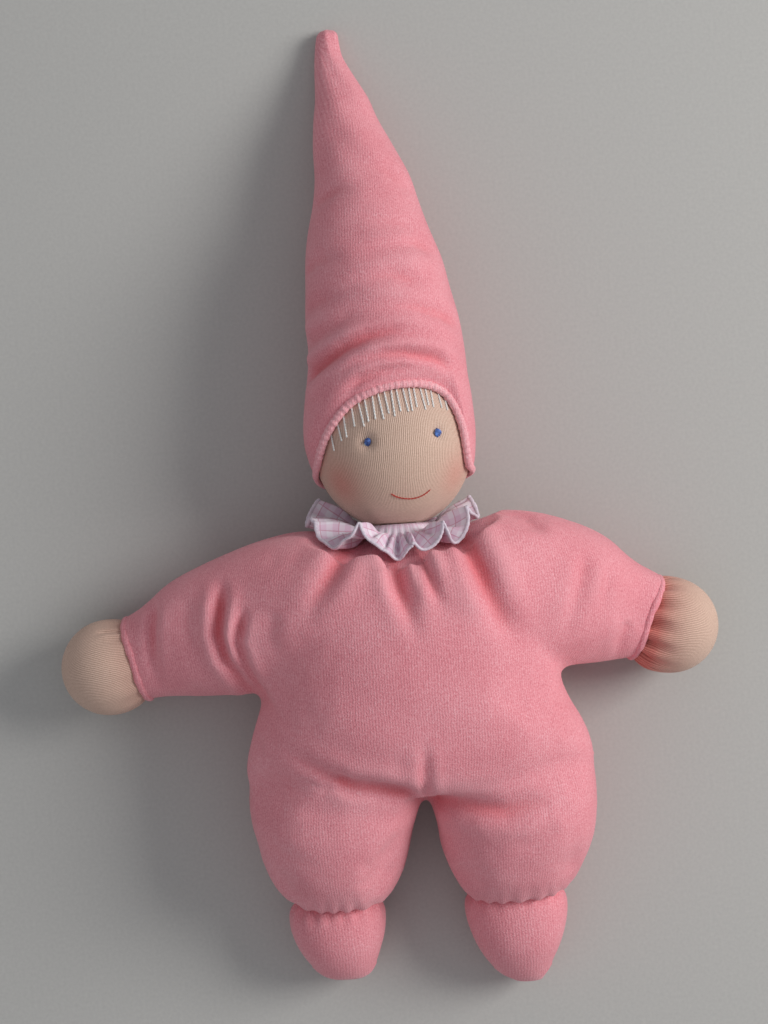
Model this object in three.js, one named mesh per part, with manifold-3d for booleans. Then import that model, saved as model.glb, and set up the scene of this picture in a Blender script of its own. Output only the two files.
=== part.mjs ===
// A soft cuddle doll in a pointed cap, lying on its back: a stuffed velour suit with short arms and
// legs, a wool-filled knitted head and hands, and a gathered collar between head and suit.
// Millimetres. +Z is up, the way the face looks. +Y runs from the feet to the tip of the cap.
// Everything is placed from the neck joint, and the finished group is then moved so that the middle
// of its footprint, on the surface it lies on, is the origin.

import * as THREE from "three";
import { mergeVertices } from "three/addons/utils/BufferGeometryUtils.js";
import Module from "manifold-3d";

const wasm = await Module();
wasm.setup();

// Cloth, clearances and the surface it lies on
const velourWall = 2.0;
const tricotWall = 1.2;
const seatGap = 0.35;
const creaseGap = 0.5;
const restFlat = 0.5;
const overrun = 60;

// Trunk of the suit, from the neck joint down to the hip crease
const trunkLength = 106;
const trunkHalfWidth = 69;
const trunkHalfDepth = 38;
const trunkAside = 2.2;

// Shoulders and sleeves. Each sleeve has its own length and height, as the sewn doll has.
const shoulderHalfWidth = 60;
const shoulderBelowNeck = 32;
const shoulderHalfHeight = 33;
const shoulderHalfDepth = 37;
const sleeveDrop = 14;
const leftSleeve = { side: -1, length: 50.5, lower: 2.2, handFall: THREE.MathUtils.degToRad(8) };
const rightSleeve = { side: 1, length: 37, lower: 0, handFall: THREE.MathUtils.degToRad(13) };
const shoulderCreaseAt = 62;
const armpitBelowNeck = 67.5;

// Hands: a knitted ball tied off at the wrist and tucked into the sleeve
const handRadius = 19.8;
const wristKnobRadius = 8.6;
const wristTailBore = 5;
const wristTieThread = 0.6;
const wristInsideMouth = 6.6;
const wristSwing = THREE.MathUtils.degToRad(12);

// Legs and feet: the trouser legs are tied off at the ankle
const legLength = 51;
const legHalfWidth = 33.7;
const legHalfDepth = 31;
const legApart = 35.2;
const legGap = 1.2;
const ankleAboveEnd = 7;
const ankleHeight = 18;
const ankleKnobRadius = 10;
const ankleTailBore = 6;
const ankleTieThread = 0.7;
const ankleTieAbove = 3.6;
const ankleSwing = THREE.MathUtils.degToRad(15);
const footHalfWidth = 20.5;
const footHalfDepth = 18;
const leftFoot = { side: -1, length: 37.5, aside: 2.5, toeOut: THREE.MathUtils.degToRad(-2) };
const rightFoot = { side: 1, length: 44.3, aside: 0, toeOut: THREE.MathUtils.degToRad(6) };

// Head, neck and face. The face looks a little to one side and is rolled a little in its plane.
const neckHeight = 36;
const headHalfWidth = 32;
const headHalfHeight = 33.5;
const headHalfDepth = 32.5;
const headAboveNeck = 33;
const faceRoll = THREE.MathUtils.degToRad(4);
const faceTurn = THREE.MathUtils.degToRad(8);
const neckBallRadius = 10;
const neckRollLength = 24;
const neckDishRadius = 30;
const neckDishFloorRadius = 15.5;
const neckDishDepth = 4.6;
const neckDishRimShare = 0.5;
const headThread = 0.7;
const chinThreadDeeper = 2.2;

// Cap: a stuffed velour cone sewn round the face
const capLength = 210;
const capHalfWidth = 34.7;
const capHalfDepth = 36.5;
const capTipAside = 15.4;
const capFrontEdge = 56.5;
const capBackEdge = 14;
const capLeftTurn = THREE.MathUtils.degToRad(58);
const capLeftSpread = THREE.MathUtils.degToRad(38);
const capRightTurn = THREE.MathUtils.degToRad(60);
const capRightSpread = THREE.MathUtils.degToRad(15);
const capHugLength = 17;
const capHemRadius = 1.5;

// Gathered collar
const collarInnerRadius = 13.6;
const collarSideRadius = 37;
const collarFrontRadius = 32.5;
const collarBackRadius = 33;
const collarCloth = 1.2;
const collarLift = 1.2;
const collarWave = 6.5;
const collarSideWave = 8;
const collarSideRise = 5;
const collarScallopShare = 0.08;
const collarUnevenShare = 0.35;
const collarPleats = 13;
const collarThreadRadius = 12.3;
const collarThread = 0.5;

// Embroidery
const eyeSpread = THREE.MathUtils.degToRad(26);
const eyeRise = THREE.MathUtils.degToRad(2.5);
const eyeHalfWidth = 1.7;
const eyeHalfHeight = 1.95;
const eyeBulge = 0.8;
const mouthAside = THREE.MathUtils.degToRad(1.5);
const mouthSpread = THREE.MathUtils.degToRad(18);
const mouthCorner = THREE.MathUtils.degToRad(-37);
const mouthSag = THREE.MathUtils.degToRad(6.4);
const mouthThread = 0.4;
const hairThread = 0.4;
const hairLength = 9.5;
const hairStitches = 19;
const hairLeftTurn = THREE.MathUtils.degToRad(-56);
const hairRightTurn = THREE.MathUtils.degToRad(52);
const hairShorterAtEndsShare = 0.45;
const hairSlantShare = 0.1;

// Facets: sides round a form
const coarse = 12;
const fine = 18;
const handSides = 16;
const headSides = 22;
const capSides = 24;

// Fullness of a stuffed section: 2 is an ellipse, more is squarer.
const fullness = 2.25;

const X = new THREE.Vector3(1, 0, 0);
const Y = new THREE.Vector3(0, 1, 0);
const Z = new THREE.Vector3(0, 0, 1);

// A three.js geometry as a solid.
function solid(geometry) {
  const bare = geometry.clone();
  for (const name of Object.keys(bare.attributes)) {
    if (name !== "position") bare.deleteAttribute(name);
  }
  const merged = mergeVertices(bare);
  return new wasm.Manifold(
    new wasm.Mesh({
      numProp: 3,
      vertProperties: merged.attributes.position.array,
      triVerts: new Uint32Array(merged.index.array),
    }),
  );
}

// A solid as a three.js geometry with flat facets.
function geometryOf(made) {
  const mesh = made.getMesh();
  const geometry = new THREE.BufferGeometry();
  geometry.setAttribute("position", new THREE.BufferAttribute(mesh.vertProperties, mesh.numProp));
  geometry.setIndex(new THREE.BufferAttribute(mesh.triVerts, 1));
  const facets = geometry.toNonIndexed();
  facets.computeVertexNormals();
  return facets;
}

function cut(made, ...tools) {
  return tools.reduce((rest, tool) => rest.subtract(tool), made);
}

function join(first, ...others) {
  return others.reduce((whole, other) => whole.add(other), first);
}

// A skin over rings of points that run the same way round, closed by a point at each end.
function ringSkin(rings, startTip, endTip) {
  const sides = rings[0].length;
  const points = [...rings.flat(), startTip, endTip];
  const last = rings.length - 1;
  const faces = [];
  for (let k = 0; k < sides; k++) {
    const next = (k + 1) % sides;
    faces.push(points.length - 2, next, k);
    for (let i = 0; i < last; i++) {
      const a = i * sides;
      const b = a + sides;
      faces.push(a + k, a + next, b + next, a + k, b + next, b + k);
    }
    faces.push(points.length - 1, last * sides + k, last * sides + next);
  }
  const geometry = new THREE.BufferGeometry().setFromPoints(points);
  geometry.setIndex(faces);
  return geometry;
}

// A closed band: rings of points in a loop, with no ends.
function loopSkin(rings) {
  const sides = rings[0].length;
  const count = rings.length;
  const faces = [];
  for (let i = 0; i < count; i++) {
    for (let k = 0; k < sides; k++) {
      const a = i * sides + k;
      const b = i * sides + ((k + 1) % sides);
      const c = ((i + 1) % count) * sides + ((k + 1) % sides);
      const d = ((i + 1) % count) * sides + k;
      faces.push(a, b, c, a, c, d);
    }
  }
  const geometry = new THREE.BufferGeometry().setFromPoints(rings.flat());
  geometry.setIndex(faces);
  return geometry;
}

// Rows of numbers, smoothed into count rows by a curve through them.
function smoothRows(rows, count) {
  const columns = rows[0].length;
  return Array.from({ length: count }, (_, i) => {
    const at = (i / (count - 1)) * (rows.length - 1);
    const low = Math.min(Math.floor(at), rows.length - 2);
    const t = at - low;
    const row = (n) => rows[THREE.MathUtils.clamp(n, 0, rows.length - 1)];
    return Array.from({ length: columns }, (__, c) => {
      const [p0, p1, p2, p3] = [row(low - 1)[c], row(low)[c], row(low + 1)[c], row(low + 2)[c]];
      const v0 = (p2 - p0) / 2;
      const v1 = (p3 - p1) / 2;
      return (2 * p1 - 2 * p2 + v0 + v1) * t ** 3 + (3 * p2 - 3 * p1 - 2 * v0 - v1) * t ** 2 + v0 * t + p1;
    });
  });
}

// A stuffed form along stations { at, across, deep }: upright superellipse sections across the line
// through the stations, the inset taken off all round and off both ends.
function stuffed(stations, sides, inset) {
  const last = stations.length - 1;
  const tangents = stations.map((_, i) => {
    const before = stations[Math.max(i - 1, 0)].at;
    const after = stations[Math.min(i + 1, last)].at;
    return after.clone().sub(before).setZ(0).normalize();
  });
  const rings = stations.map((s, i) => {
    const across = new THREE.Vector3().crossVectors(Z, tangents[i]);
    const centre = s.at.clone();
    if (i === 0) centre.addScaledVector(tangents[0], inset);
    if (i === last) centre.addScaledVector(tangents[last], -inset);
    return Array.from({ length: sides }, (_, k) => {
      const angle = (2 * Math.PI * k) / sides;
      const round = (v) => Math.sign(v) * Math.abs(v) ** (2 / fullness);
      return centre
        .clone()
        .addScaledVector(across, round(Math.cos(angle)) * Math.max(s.across - inset, inset))
        .addScaledVector(Z, round(Math.sin(angle)) * Math.max(s.deep - inset, inset));
    });
  });
  const tip = (i, way) => {
    const bulge = Math.min(stations[i].across, stations[i].deep) / 4;
    return stations[i].at.clone().addScaledVector(tangents[i], way * (bulge - inset));
  };
  return solid(ringSkin(rings, tip(0, -1), tip(last, 1)));
}

// An ellipsoid with its poles on Y.
function ellipsoid(halfWidth, halfHeight, halfDepth, sides) {
  return new THREE.SphereGeometry(1, sides, Math.round(sides * 0.6)).scale(halfWidth, halfHeight, halfDepth);
}

// A round bar along Y between two heights, its ends flat.
function bar(radius, from, to, sides) {
  return new THREE.CylinderGeometry(radius, radius, to - from, sides).translate(0, (from + to) / 2, 0);
}

// A block that fills everything on one side of a plane: its outward face is at the point, square to
// the direction in the XY plane that the angle gives, counted from +X.
function halfSpace(point, angle) {
  const size = capLength + trunkLength + overrun;
  return solid(
    new THREE.BoxGeometry(size, size, size)
      .translate(size / 2, 0, 0)
      .rotateZ(angle)
      .translate(point.x, point.y, point.z),
  );
}

const floorBlock = solid(
  new THREE.BoxGeometry(1, 1, 1)
    .scale(2 * capLength + overrun, 2 * capLength + overrun, overrun)
    .translate(0, 0, -overrun / 2),
);

// A solid turned about a point and an axis.
function turned(made, pivot, axis, angle) {
  const matrix = new THREE.Matrix4()
    .makeTranslation(pivot.x, pivot.y, pivot.z)
    .multiply(new THREE.Matrix4().makeRotationAxis(axis, angle))
    .multiply(new THREE.Matrix4().makeTranslation(-pivot.x, -pivot.y, -pivot.z));
  return made.transform(matrix.elements);
}

// Everything that a piece passes through as it swings either way about an axis.
function swept(made, pivot, axis, swing) {
  return join(made, turned(made, pivot, axis, swing), turned(made, pivot, axis, -swing));
}

// The velour suit as one outer form, the inset taken off all round

// Trunk rows: share of the length below the neck, shares of the half width and half depth, and the
// height of the middle as a share of the half depth
const trunkShares = [
  [0.02, 0.5, 0.4, 0.95],
  [0.07, 0.64, 0.6, 0.95],
  [0.16, 0.74, 0.8, 0.95],
  [0.3, 0.8, 0.93, 0.96],
  [0.46, 0.82, 0.985, 0.97],
  [0.6, 0.842, 1, 0.985],
  [0.7, 0.88, 1, 0.985],
  [0.8, 0.945, 0.975, 0.96],
  [0.89, 0.985, 0.92, 0.905],
  [0.955, 0.97, 0.84, 0.825],
  [0.985, 0.9, 0.74, 0.725],
];

// Sleeve rows: share of the shoulder's half width, then share of the sleeve beyond it, share of the
// drop, and shares of the shoulder's half height and half depth
const sleeveShares = [
  [0, 0, 0, 1, 1],
  [0.34, 0, 0, 1, 0.97],
  [0.66, 0, 0.02, 1, 0.91],
  [1, 0, 0.08, 0.915, 0.79],
  [1, 0.32, 0.25, 0.82, 0.715],
  [1, 0.62, 0.5, 0.706, 0.62],
  [1, 0.87, 0.78, 0.58, 0.525],
  [1, 1, 0.97, 0.49, 0.47],
  [1, 1.05, 1.03, 0.4, 0.4],
];

// Leg rows: share of the leg's length below the hip crease, and shares of its half width and depth
const legShares = [
  [-0.5, 0.72, 0.8],
  [-0.22, 0.93, 0.95],
  [0, 1, 1],
  [0.17, 0.985, 1],
  [0.34, 0.925, 0.96],
  [0.57, 0.845, 0.87],
  [0.75, 0.735, 0.75],
  [0.88, 0.6, 0.62],
  [0.96, 0.44, 0.47],
];

function trunkForm(inset, sides, rings) {
  const stations = smoothRows(trunkShares, rings).map(([along, wide, deep, rise]) => ({
    at: new THREE.Vector3(along * trunkAside, -along * trunkLength, rise * trunkHalfDepth),
    across: wide * trunkHalfWidth,
    deep: deep * trunkHalfDepth,
  }));
  return stuffed(stations, sides, inset);
}

function sleeveStations(sleeve, rings) {
  return smoothRows(sleeveShares, rings).map(([shoulder, beyond, drop, high, deep]) => ({
    at: new THREE.Vector3(
      sleeve.side * (shoulder * shoulderHalfWidth + beyond * sleeve.length),
      -shoulderBelowNeck - shoulder * sleeve.lower - drop * sleeveDrop,
      deep * shoulderHalfDepth - restFlat,
    ),
    across: high * shoulderHalfHeight,
    deep: deep * shoulderHalfDepth,
  }));
}

function legForm(side, inset, sides, rings) {
  const stations = smoothRows(legShares, rings).map(([along, wide, deep]) => ({
    at: new THREE.Vector3(
      trunkAside + side * legApart,
      -trunkLength - along * legLength,
      deep * legHalfDepth - restFlat,
    ),
    across: wide * legHalfWidth,
    deep: deep * legHalfDepth,
  }));
  return stuffed(stations, sides, inset);
}

function suitForm(inset, sides, rings) {
  return join(
    trunkForm(inset, sides + 2, rings),
    stuffed(sleeveStations(leftSleeve, rings), sides, inset),
    stuffed(sleeveStations(rightSleeve, rings), sides, inset),
    legForm(-1, inset, sides, rings - 1),
    legForm(1, inset, sides, rings - 1),
  );
}

const suitOuter = cut(suitForm(0, fine, 10), floorBlock);
const floorInside = (inset) => floorBlock.translate([0, 0, inset]);
const suitInner = cut(suitForm(velourWall, coarse, 7), floorInside(velourWall));
const suitFill = cut(suitForm(velourWall + seatGap, coarse, 7), floorInside(velourWall + seatGap));
const suitCloth = cut(suitOuter, suitInner);

// Where the limbs part from the trunk: planes through the shoulder and hip creases
function armRoom(sleeve, back) {
  const beyond = new THREE.Vector3(sleeve.side * (shoulderCreaseAt - back), 0, 0);
  const above = new THREE.Vector3(0, -armpitBelowNeck - sleeve.lower - back, 0);
  return halfSpace(beyond, sleeve.side > 0 ? 0 : Math.PI).intersect(halfSpace(above, Math.PI / 2));
}

function legRoom(back) {
  return halfSpace(new THREE.Vector3(0, -trunkLength + back, 0), -Math.PI / 2);
}

function sideRoom(side) {
  return halfSpace(new THREE.Vector3(trunkAside + (side * legGap) / 2, 0, 0), side > 0 ? 0 : Math.PI);
}

// Neck: a tied-off roll of the head's inner tube, which sits in the suit's neck
const neck = new THREE.Vector3(0, 0, neckHeight);

function atNeck(geometry) {
  return solid(geometry.translate(neck.x, neck.y, neck.z));
}

const neckBall = (grow) => atNeck(new THREE.SphereGeometry(neckBallRadius + grow, handSides, handSides / 2));
const neckBar = (grow) => atNeck(bar(neckBallRadius + grow, -neckRollLength - grow, 0, handSides));
const neckRoll = join(neckBall(0), neckBar(0));
const neckSocket = join(neckBall(seatGap), neckBar(seatGap));

// The dip in the suit round the neck, where its gathers draw in: a turned profile about Y
const neckDish = atNeck(
  new THREE.LatheGeometry(
    [
      new THREE.Vector2(0, -neckDishDepth),
      new THREE.Vector2(neckDishFloorRadius, -neckDishDepth),
      new THREE.Vector2(neckDishRadius, neckDishDepth * neckDishRimShare),
      new THREE.Vector2(neckDishRadius + neckDishDepth, overrun),
      new THREE.Vector2(0, overrun),
    ],
    fine + 4,
  ),
);

// Head frame: Y along the head, its origin at the neck joint. The head group moves it there.
const headCentre = new THREE.Vector3(0, headAboveNeck, 0);

function headForm(grow, sides) {
  return solid(
    ellipsoid(headHalfWidth + grow, headHalfHeight + grow, headHalfDepth + grow, sides).translate(
      0,
      headAboveNeck,
      0,
    ),
  );
}

// A point on the head: the angle of turn from straight ahead and of rise above its middle
function onHead(turn, rise, lift) {
  return new THREE.Vector3(
    (headHalfWidth + lift) * Math.sin(turn) * Math.cos(rise),
    headAboveNeck + (headHalfHeight + lift) * Math.sin(rise),
    (headHalfDepth + lift) * Math.cos(turn) * Math.cos(rise),
  );
}

const neckBallInHead = solid(
  new THREE.SphereGeometry(neckBallRadius + 2 * seatGap, handSides, handSides / 2),
);

// Cap rows: share of the cap's length above the neck, shares of its half width and half depth, and
// how far its middle has moved aside, as a share of the tip's
const capShares = [
  [0.03, 0.66, 0.66, 0.02],
  [0.095, 0.93, 0.93, 0.06],
  [0.18, 1, 1, 0.07],
  [0.26, 0.94, 0.945, 0.06],
  [0.343, 0.908, 0.9, 0.05],
  [0.45, 0.85, 0.84, 0.07],
  [0.54, 0.77, 0.75, 0.19],
  [0.624, 0.64, 0.64, 0.3],
  [0.7, 0.535, 0.54, 0.4],
  [0.777, 0.441, 0.44, 0.57],
  [0.85, 0.315, 0.32, 0.82],
  [0.92, 0.18, 0.19, 0.95],
  [0.965, 0.12, 0.125, 1],
];
const capRows = smoothRows(capShares, 60);

function capRowAt(y) {
  const share = y / capLength;
  const above = capRows.findIndex((row) => row[0] >= share);
  if (above <= 0) return capRows[above === 0 ? 0 : capRows.length - 1];
  const [low, high] = [capRows[above - 1], capRows[above]];
  const t = (share - low[0]) / (high[0] - low[0]);
  return low.map((v, c) => THREE.MathUtils.lerp(v, high[c], t));
}

// How far above the neck the cap's edge runs, by the angle from straight ahead. It falls away slowly
// past the left cheek and steeply past the right one.
function capEdge(angle) {
  const signed = THREE.MathUtils.euclideanModulo(angle + Math.PI, 2 * Math.PI) - Math.PI;
  const [turn, spread] = signed < 0 ? [capLeftTurn, capLeftSpread] : [capRightTurn, capRightSpread];
  const t = THREE.MathUtils.smoothstep(Math.abs(signed), turn - spread, turn + spread);
  return THREE.MathUtils.lerp(capFrontEdge, capBackEdge, t);
}

// A point of the cap: it hugs the head at its edge and follows its own rows above.
function onCap(angle, y, inset) {
  const [, wide, deep, aside] = capRowAt(y);
  const halfDepth = deep * capHalfDepth;
  const row = new THREE.Vector3(
    (wide * capHalfWidth - inset) * Math.sin(angle) - aside * capTipAside,
    y,
    halfDepth - restFlat - neckHeight + (halfDepth - inset) * Math.cos(angle),
  );
  const grow = seatGap + velourWall - inset;
  const above = (Math.min(y, capEdge(angle)) - headAboveNeck) / (headHalfHeight + grow);
  const ring = Math.sqrt(Math.max(1 - above ** 2, 0));
  const hug = new THREE.Vector3(
    (headHalfWidth + grow) * ring * Math.sin(angle),
    y,
    (headHalfDepth + grow) * ring * Math.cos(angle),
  );
  const free = THREE.MathUtils.smoothstep((y - capEdge(angle)) / capHugLength, 0, 1);
  return hug.lerp(row, free);
}

// The cap as a filled form from a lower edge, given by angle, to its tip
function capForm(edge, inset, sides, rings) {
  const top = capShares[capShares.length - 1][0] * capLength;
  const loops = Array.from({ length: rings }, (_, i) =>
    Array.from({ length: sides }, (__, k) => {
      const angle = (2 * Math.PI * k) / sides;
      const low = edge(angle);
      return onCap(angle, THREE.MathUtils.lerp(low, top - inset, i / (rings - 1)), inset);
    }),
  );
  const middle = (ring) =>
    ring.reduce((sum, p) => sum.add(p), new THREE.Vector3()).divideScalar(ring.length);
  const tip = middle(loops[rings - 1]);
  tip.y = capLength - inset;
  return solid(ringSkin(loops, middle(loops[0]), tip));
}

function capHem(grow) {
  const count = 2 * fine;
  const rings = Array.from({ length: count }, (_, i) => {
    const angle = (2 * Math.PI * i) / count;
    const step = Math.PI / count;
    const edge = (a) => onCap(a, capEdge(a), velourWall / 2);
    const centre = edge(angle);
    const along = edge(angle + step).sub(edge(angle - step)).normalize();
    const out = centre.clone().sub(headCentre).normalize();
    out.addScaledVector(along, -out.dot(along)).normalize();
    const over = new THREE.Vector3().crossVectors(along, out);
    return Array.from({ length: 6 }, (__, k) => {
      const turn = (2 * Math.PI * k) / 6;
      return centre
        .clone()
        .addScaledVector(out, (capHemRadius + grow) * Math.cos(turn))
        .addScaledVector(over, (capHemRadius + grow) * Math.sin(turn));
    });
  });
  return solid(loopSkin(rings));
}

// Group and mesh makers
const doll = new THREE.Group();
const headGroup = new THREE.Group();
headGroup.position.copy(neck);
doll.add(headGroup);

const looks = {
  velour: { color: 0xe08a93, roughness: 0.95 },
  tricot: { color: 0xdcb795, roughness: 0.9 },
  wool: { color: 0xe9e2d2, roughness: 1 },
  gingham: { color: 0xeadde2, roughness: 0.9 },
  thread: { color: 0xf2efe8, roughness: 0.7 },
  blueThread: { color: 0x3556b8, roughness: 0.5 },
  redThread: { color: 0xc43328, roughness: 0.5 },
};

function add(group, name, look, made) {
  const material = new THREE.MeshStandardMaterial({ ...looks[look], metalness: 0 });
  const mesh = new THREE.Mesh(geometryOf(made), material);
  mesh.name = name;
  group.add(mesh);
}

// Sleeve ends: the wrist joint lies inside the mouth, and the hand has its own way to point
function wristOf(sleeve) {
  const stations = sleeveStations(sleeve, sleeveShares.length);
  const mouth = stations[stations.length - 2].at;
  const way = new THREE.Vector3(sleeve.side * Math.cos(sleeve.handFall), -Math.sin(sleeve.handFall), 0);
  const at = mouth.clone().addScaledVector(way, -wristInsideMouth).setZ(handRadius - restFlat);
  return { at, way };
}

// A hand is made along +Y from the wrist and turned to its way.
function handPiece(sleeve, geometries) {
  const { at, way } = wristOf(sleeve);
  const angle = Math.atan2(way.y, way.x) - Math.PI / 2;
  return join(...geometries.map((g) => solid(g.rotateZ(angle).translate(at.x, at.y, at.z))));
}

function handBall(sleeve, grow, sides) {
  const ball = new THREE.SphereGeometry(handRadius + grow, sides, sides / 2);
  return handPiece(sleeve, [ball.translate(0, handRadius, 0)]);
}

function wristKnob(sleeve, grow) {
  return handPiece(sleeve, [new THREE.SphereGeometry(wristKnobRadius + grow, coarse, coarse / 2)]);
}

function wristAxis(sleeve) {
  const { way } = wristOf(sleeve);
  return new THREE.Vector3().crossVectors(way, Z).normalize();
}

// A foot lies along its own line from the ankle, toes out by its own angle.
function ankleOf(foot) {
  return new THREE.Vector3(
    trunkAside + foot.side * (legApart + foot.aside),
    -trunkLength - legLength + ankleAboveEnd,
    ankleHeight,
  );
}

// Foot rows: share of the foot's length, and shares of its half width and half depth
const footShares = [
  [0, 0.6, 0.62],
  [0.08, 0.82, 0.84],
  [0.22, 0.975, 0.985],
  [0.4, 1, 1],
  [0.6, 0.9, 0.91],
  [0.78, 0.71, 0.74],
  [0.92, 0.46, 0.5],
];

function footForm(foot, grow, sides, rings) {
  const ankle = ankleOf(foot);
  const way = new THREE.Vector3(foot.side * Math.sin(foot.toeOut), -Math.cos(foot.toeOut), 0);
  const stations = smoothRows(footShares, rings).map(([along, wide, deep]) => ({
    at: ankle
      .clone()
      .addScaledVector(way, along * foot.length)
      .setZ(deep * footHalfDepth - restFlat),
    across: wide * footHalfWidth,
    deep: deep * footHalfDepth,
  }));
  return stuffed(stations, sides, -grow);
}

function ankleKnob(foot, grow) {
  const at = ankleOf(foot);
  const ball = new THREE.SphereGeometry(ankleKnobRadius + grow, coarse, coarse / 2);
  return solid(ball.translate(at.x, at.y, at.z));
}

// Arms, wrist ties and hands
const shoulderTools = [];
for (const [word, sleeve] of [
  ["left", leftSleeve],
  ["right", rightSleeve],
]) {
  const limb = armRoom(sleeve, 0);
  shoulderTools.push(armRoom(sleeve, creaseGap));
  const { at, way } = wristOf(sleeve);
  const axis = wristAxis(sleeve);
  const socket = join(
    wristKnob(sleeve, 3 * seatGap + 2 * wristTieThread),
    swept(handBall(sleeve, 2 * seatGap, handSides), at, axis, wristSwing),
  );
  add(doll, `${word}_sleeve`, "velour", cut(suitCloth.intersect(limb), socket));
  add(doll, `${word}_arm_filling`, "wool", cut(suitFill.intersect(limb), socket));

  const angle = Math.atan2(way.y, way.x) - Math.PI / 2;
  const place = (geometry) => solid(geometry.rotateZ(angle).translate(at.x, at.y, at.z));
  const bore = place(bar(wristTailBore, -handRadius, handRadius, coarse));
  const skin = join(handBall(sleeve, 0, handSides), wristKnob(sleeve, 0));
  const skinHollow = join(handBall(sleeve, -tricotWall, coarse), bore);
  add(doll, `${word}_hand_skin`, "tricot", cut(skin, skinHollow, floorBlock));
  const tailEnd = Math.sqrt(wristKnobRadius ** 2 - wristTailBore ** 2);
  const tail = place(bar(wristTailBore - seatGap, -tailEnd, handRadius, coarse));
  const coreBall = handBall(sleeve, -tricotWall - seatGap, coarse);
  const core = cut(join(coreBall, tail), floorInside(tricotWall));
  add(doll, `${word}_hand_filling`, "wool", core);
  const tieRadius = wristKnobRadius + wristTieThread + seatGap;
  const tieAt = handRadius - Math.sqrt((handRadius + wristTieThread + seatGap) ** 2 - tieRadius ** 2);
  const tie = new THREE.TorusGeometry(tieRadius, wristTieThread, 5, coarse).rotateX(Math.PI / 2);
  add(doll, `${word}_wrist_tie`, "thread", place(tie.translate(0, tieAt, 0)));
}

// Legs, feet and ankle ties
for (const [word, foot] of [
  ["left", leftFoot],
  ["right", rightFoot],
]) {
  const limb = legRoom(0).intersect(sideRoom(foot.side));
  const ankle = ankleOf(foot);
  const socket = join(
    ankleKnob(foot, 3 * seatGap + 2 * ankleTieThread),
    swept(footForm(foot, 2 * seatGap, fine, 7), ankle, X, ankleSwing),
  );
  add(doll, `${word}_trouser_leg`, "velour", cut(suitCloth.intersect(limb), socket));
  add(doll, `${word}_leg_filling`, "wool", cut(suitFill.intersect(limb), socket));

  const bore = solid(
    bar(ankleTailBore, -foot.length / 2, ankleKnobRadius, coarse).translate(ankle.x, ankle.y, ankle.z),
  );
  const shell = join(footForm(foot, 0, fine, 7), ankleKnob(foot, 0));
  const hollow = cut(footForm(foot, -velourWall, coarse, 6), floorInside(velourWall));
  add(doll, `${word}_foot`, "velour", cut(shell, hollow, bore, floorBlock));
  const tailEnd = Math.sqrt(ankleKnobRadius ** 2 - ankleTailBore ** 2);
  const tail = solid(
    bar(ankleTailBore - seatGap, -foot.length / 2, tailEnd, coarse).translate(ankle.x, ankle.y, ankle.z),
  );
  const fill = cut(footForm(foot, -velourWall - seatGap, coarse, 6), floorInside(velourWall + seatGap));
  add(doll, `${word}_foot_filling`, "wool", join(fill, tail));
  const tieRadius = Math.sqrt((ankleKnobRadius + ankleTieThread + seatGap) ** 2 - ankleTieAbove ** 2);
  const tie = new THREE.TorusGeometry(tieRadius, ankleTieThread, 5, coarse).rotateX(Math.PI / 2);
  const tieAt = ankle.clone().setY(ankle.y + ankleTieAbove);
  add(doll, `${word}_ankle_tie`, "thread", solid(tie.translate(tieAt.x, tieAt.y, tieAt.z)));
}

// Trunk
const limbTools = [...shoulderTools, legRoom(creaseGap)];
add(doll, "suit_body", "velour", cut(suitCloth, ...limbTools, neckDish, neckSocket));
const bodyDish = neckDish.translate([0, -velourWall - seatGap, 0]);
add(doll, "body_filling", "wool", cut(suitFill, ...limbTools, bodyDish, neckSocket));
add(doll, "neck_roll", "wool", neckRoll);

// Collar: a strip gathered on the neck. It lies on the suit in waves, and rises beside the head.
function suitTopAt(x, z) {
  const across = Math.min(Math.abs(z) / shoulderHalfDepth, 1);
  const crown = -shoulderBelowNeck + shoulderHalfHeight * (1 - across ** fullness) ** (1 / fullness);
  const slope = (Math.hypot(x, z) - neckDishFloorRadius) / (neckDishRadius - neckDishFloorRadius);
  return Math.min(crown, neckDishDepth * ((1 + neckDishRimShare) * Math.max(slope, 0) - 1));
}

// The underside of the head and the cap's hem over a point of the collar, counted from the neck
function headUnderAt(x, z) {
  const grow = seatGap + velourWall + capHemRadius;
  const inside = 1 - (x / (headHalfWidth + grow)) ** 2 - (z / (headHalfDepth + grow)) ** 2;
  return headAboveNeck - (headHalfHeight + grow) * Math.sqrt(Math.max(inside, 0));
}

function collarPoint(angle, share, side) {
  const front = Math.max(Math.cos(angle), 0) ** 2;
  const back = Math.max(-Math.cos(angle), 0) ** 2;
  const beside = Math.sin(angle) ** 2;
  const uneven = Math.PI * collarUnevenShare * Math.sin(3 * angle);
  const swing = (1 - Math.cos(collarPleats * angle + uneven)) / 2;
  const outer =
    collarSideRadius +
    front * (collarFrontRadius - collarSideRadius) +
    back * (collarBackRadius - collarSideRadius);
  const reach = THREE.MathUtils.lerp(
    collarInnerRadius,
    outer * (1 - collarScallopShare * swing),
    share,
  );
  const x = reach * Math.sin(angle);
  const z = reach * Math.cos(angle);
  const wave = share * swing * THREE.MathUtils.lerp(collarWave, collarSideWave, beside);
  const rise = share ** 2 * collarSideRise * beside;
  const low = suitTopAt(x, z) + collarLift;
  const room = Math.max(headUnderAt(x, z) - 2 * seatGap - collarCloth, low);
  return new THREE.Vector3(x, Math.min(low + wave + rise, room) + side * collarCloth, z);
}

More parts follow.
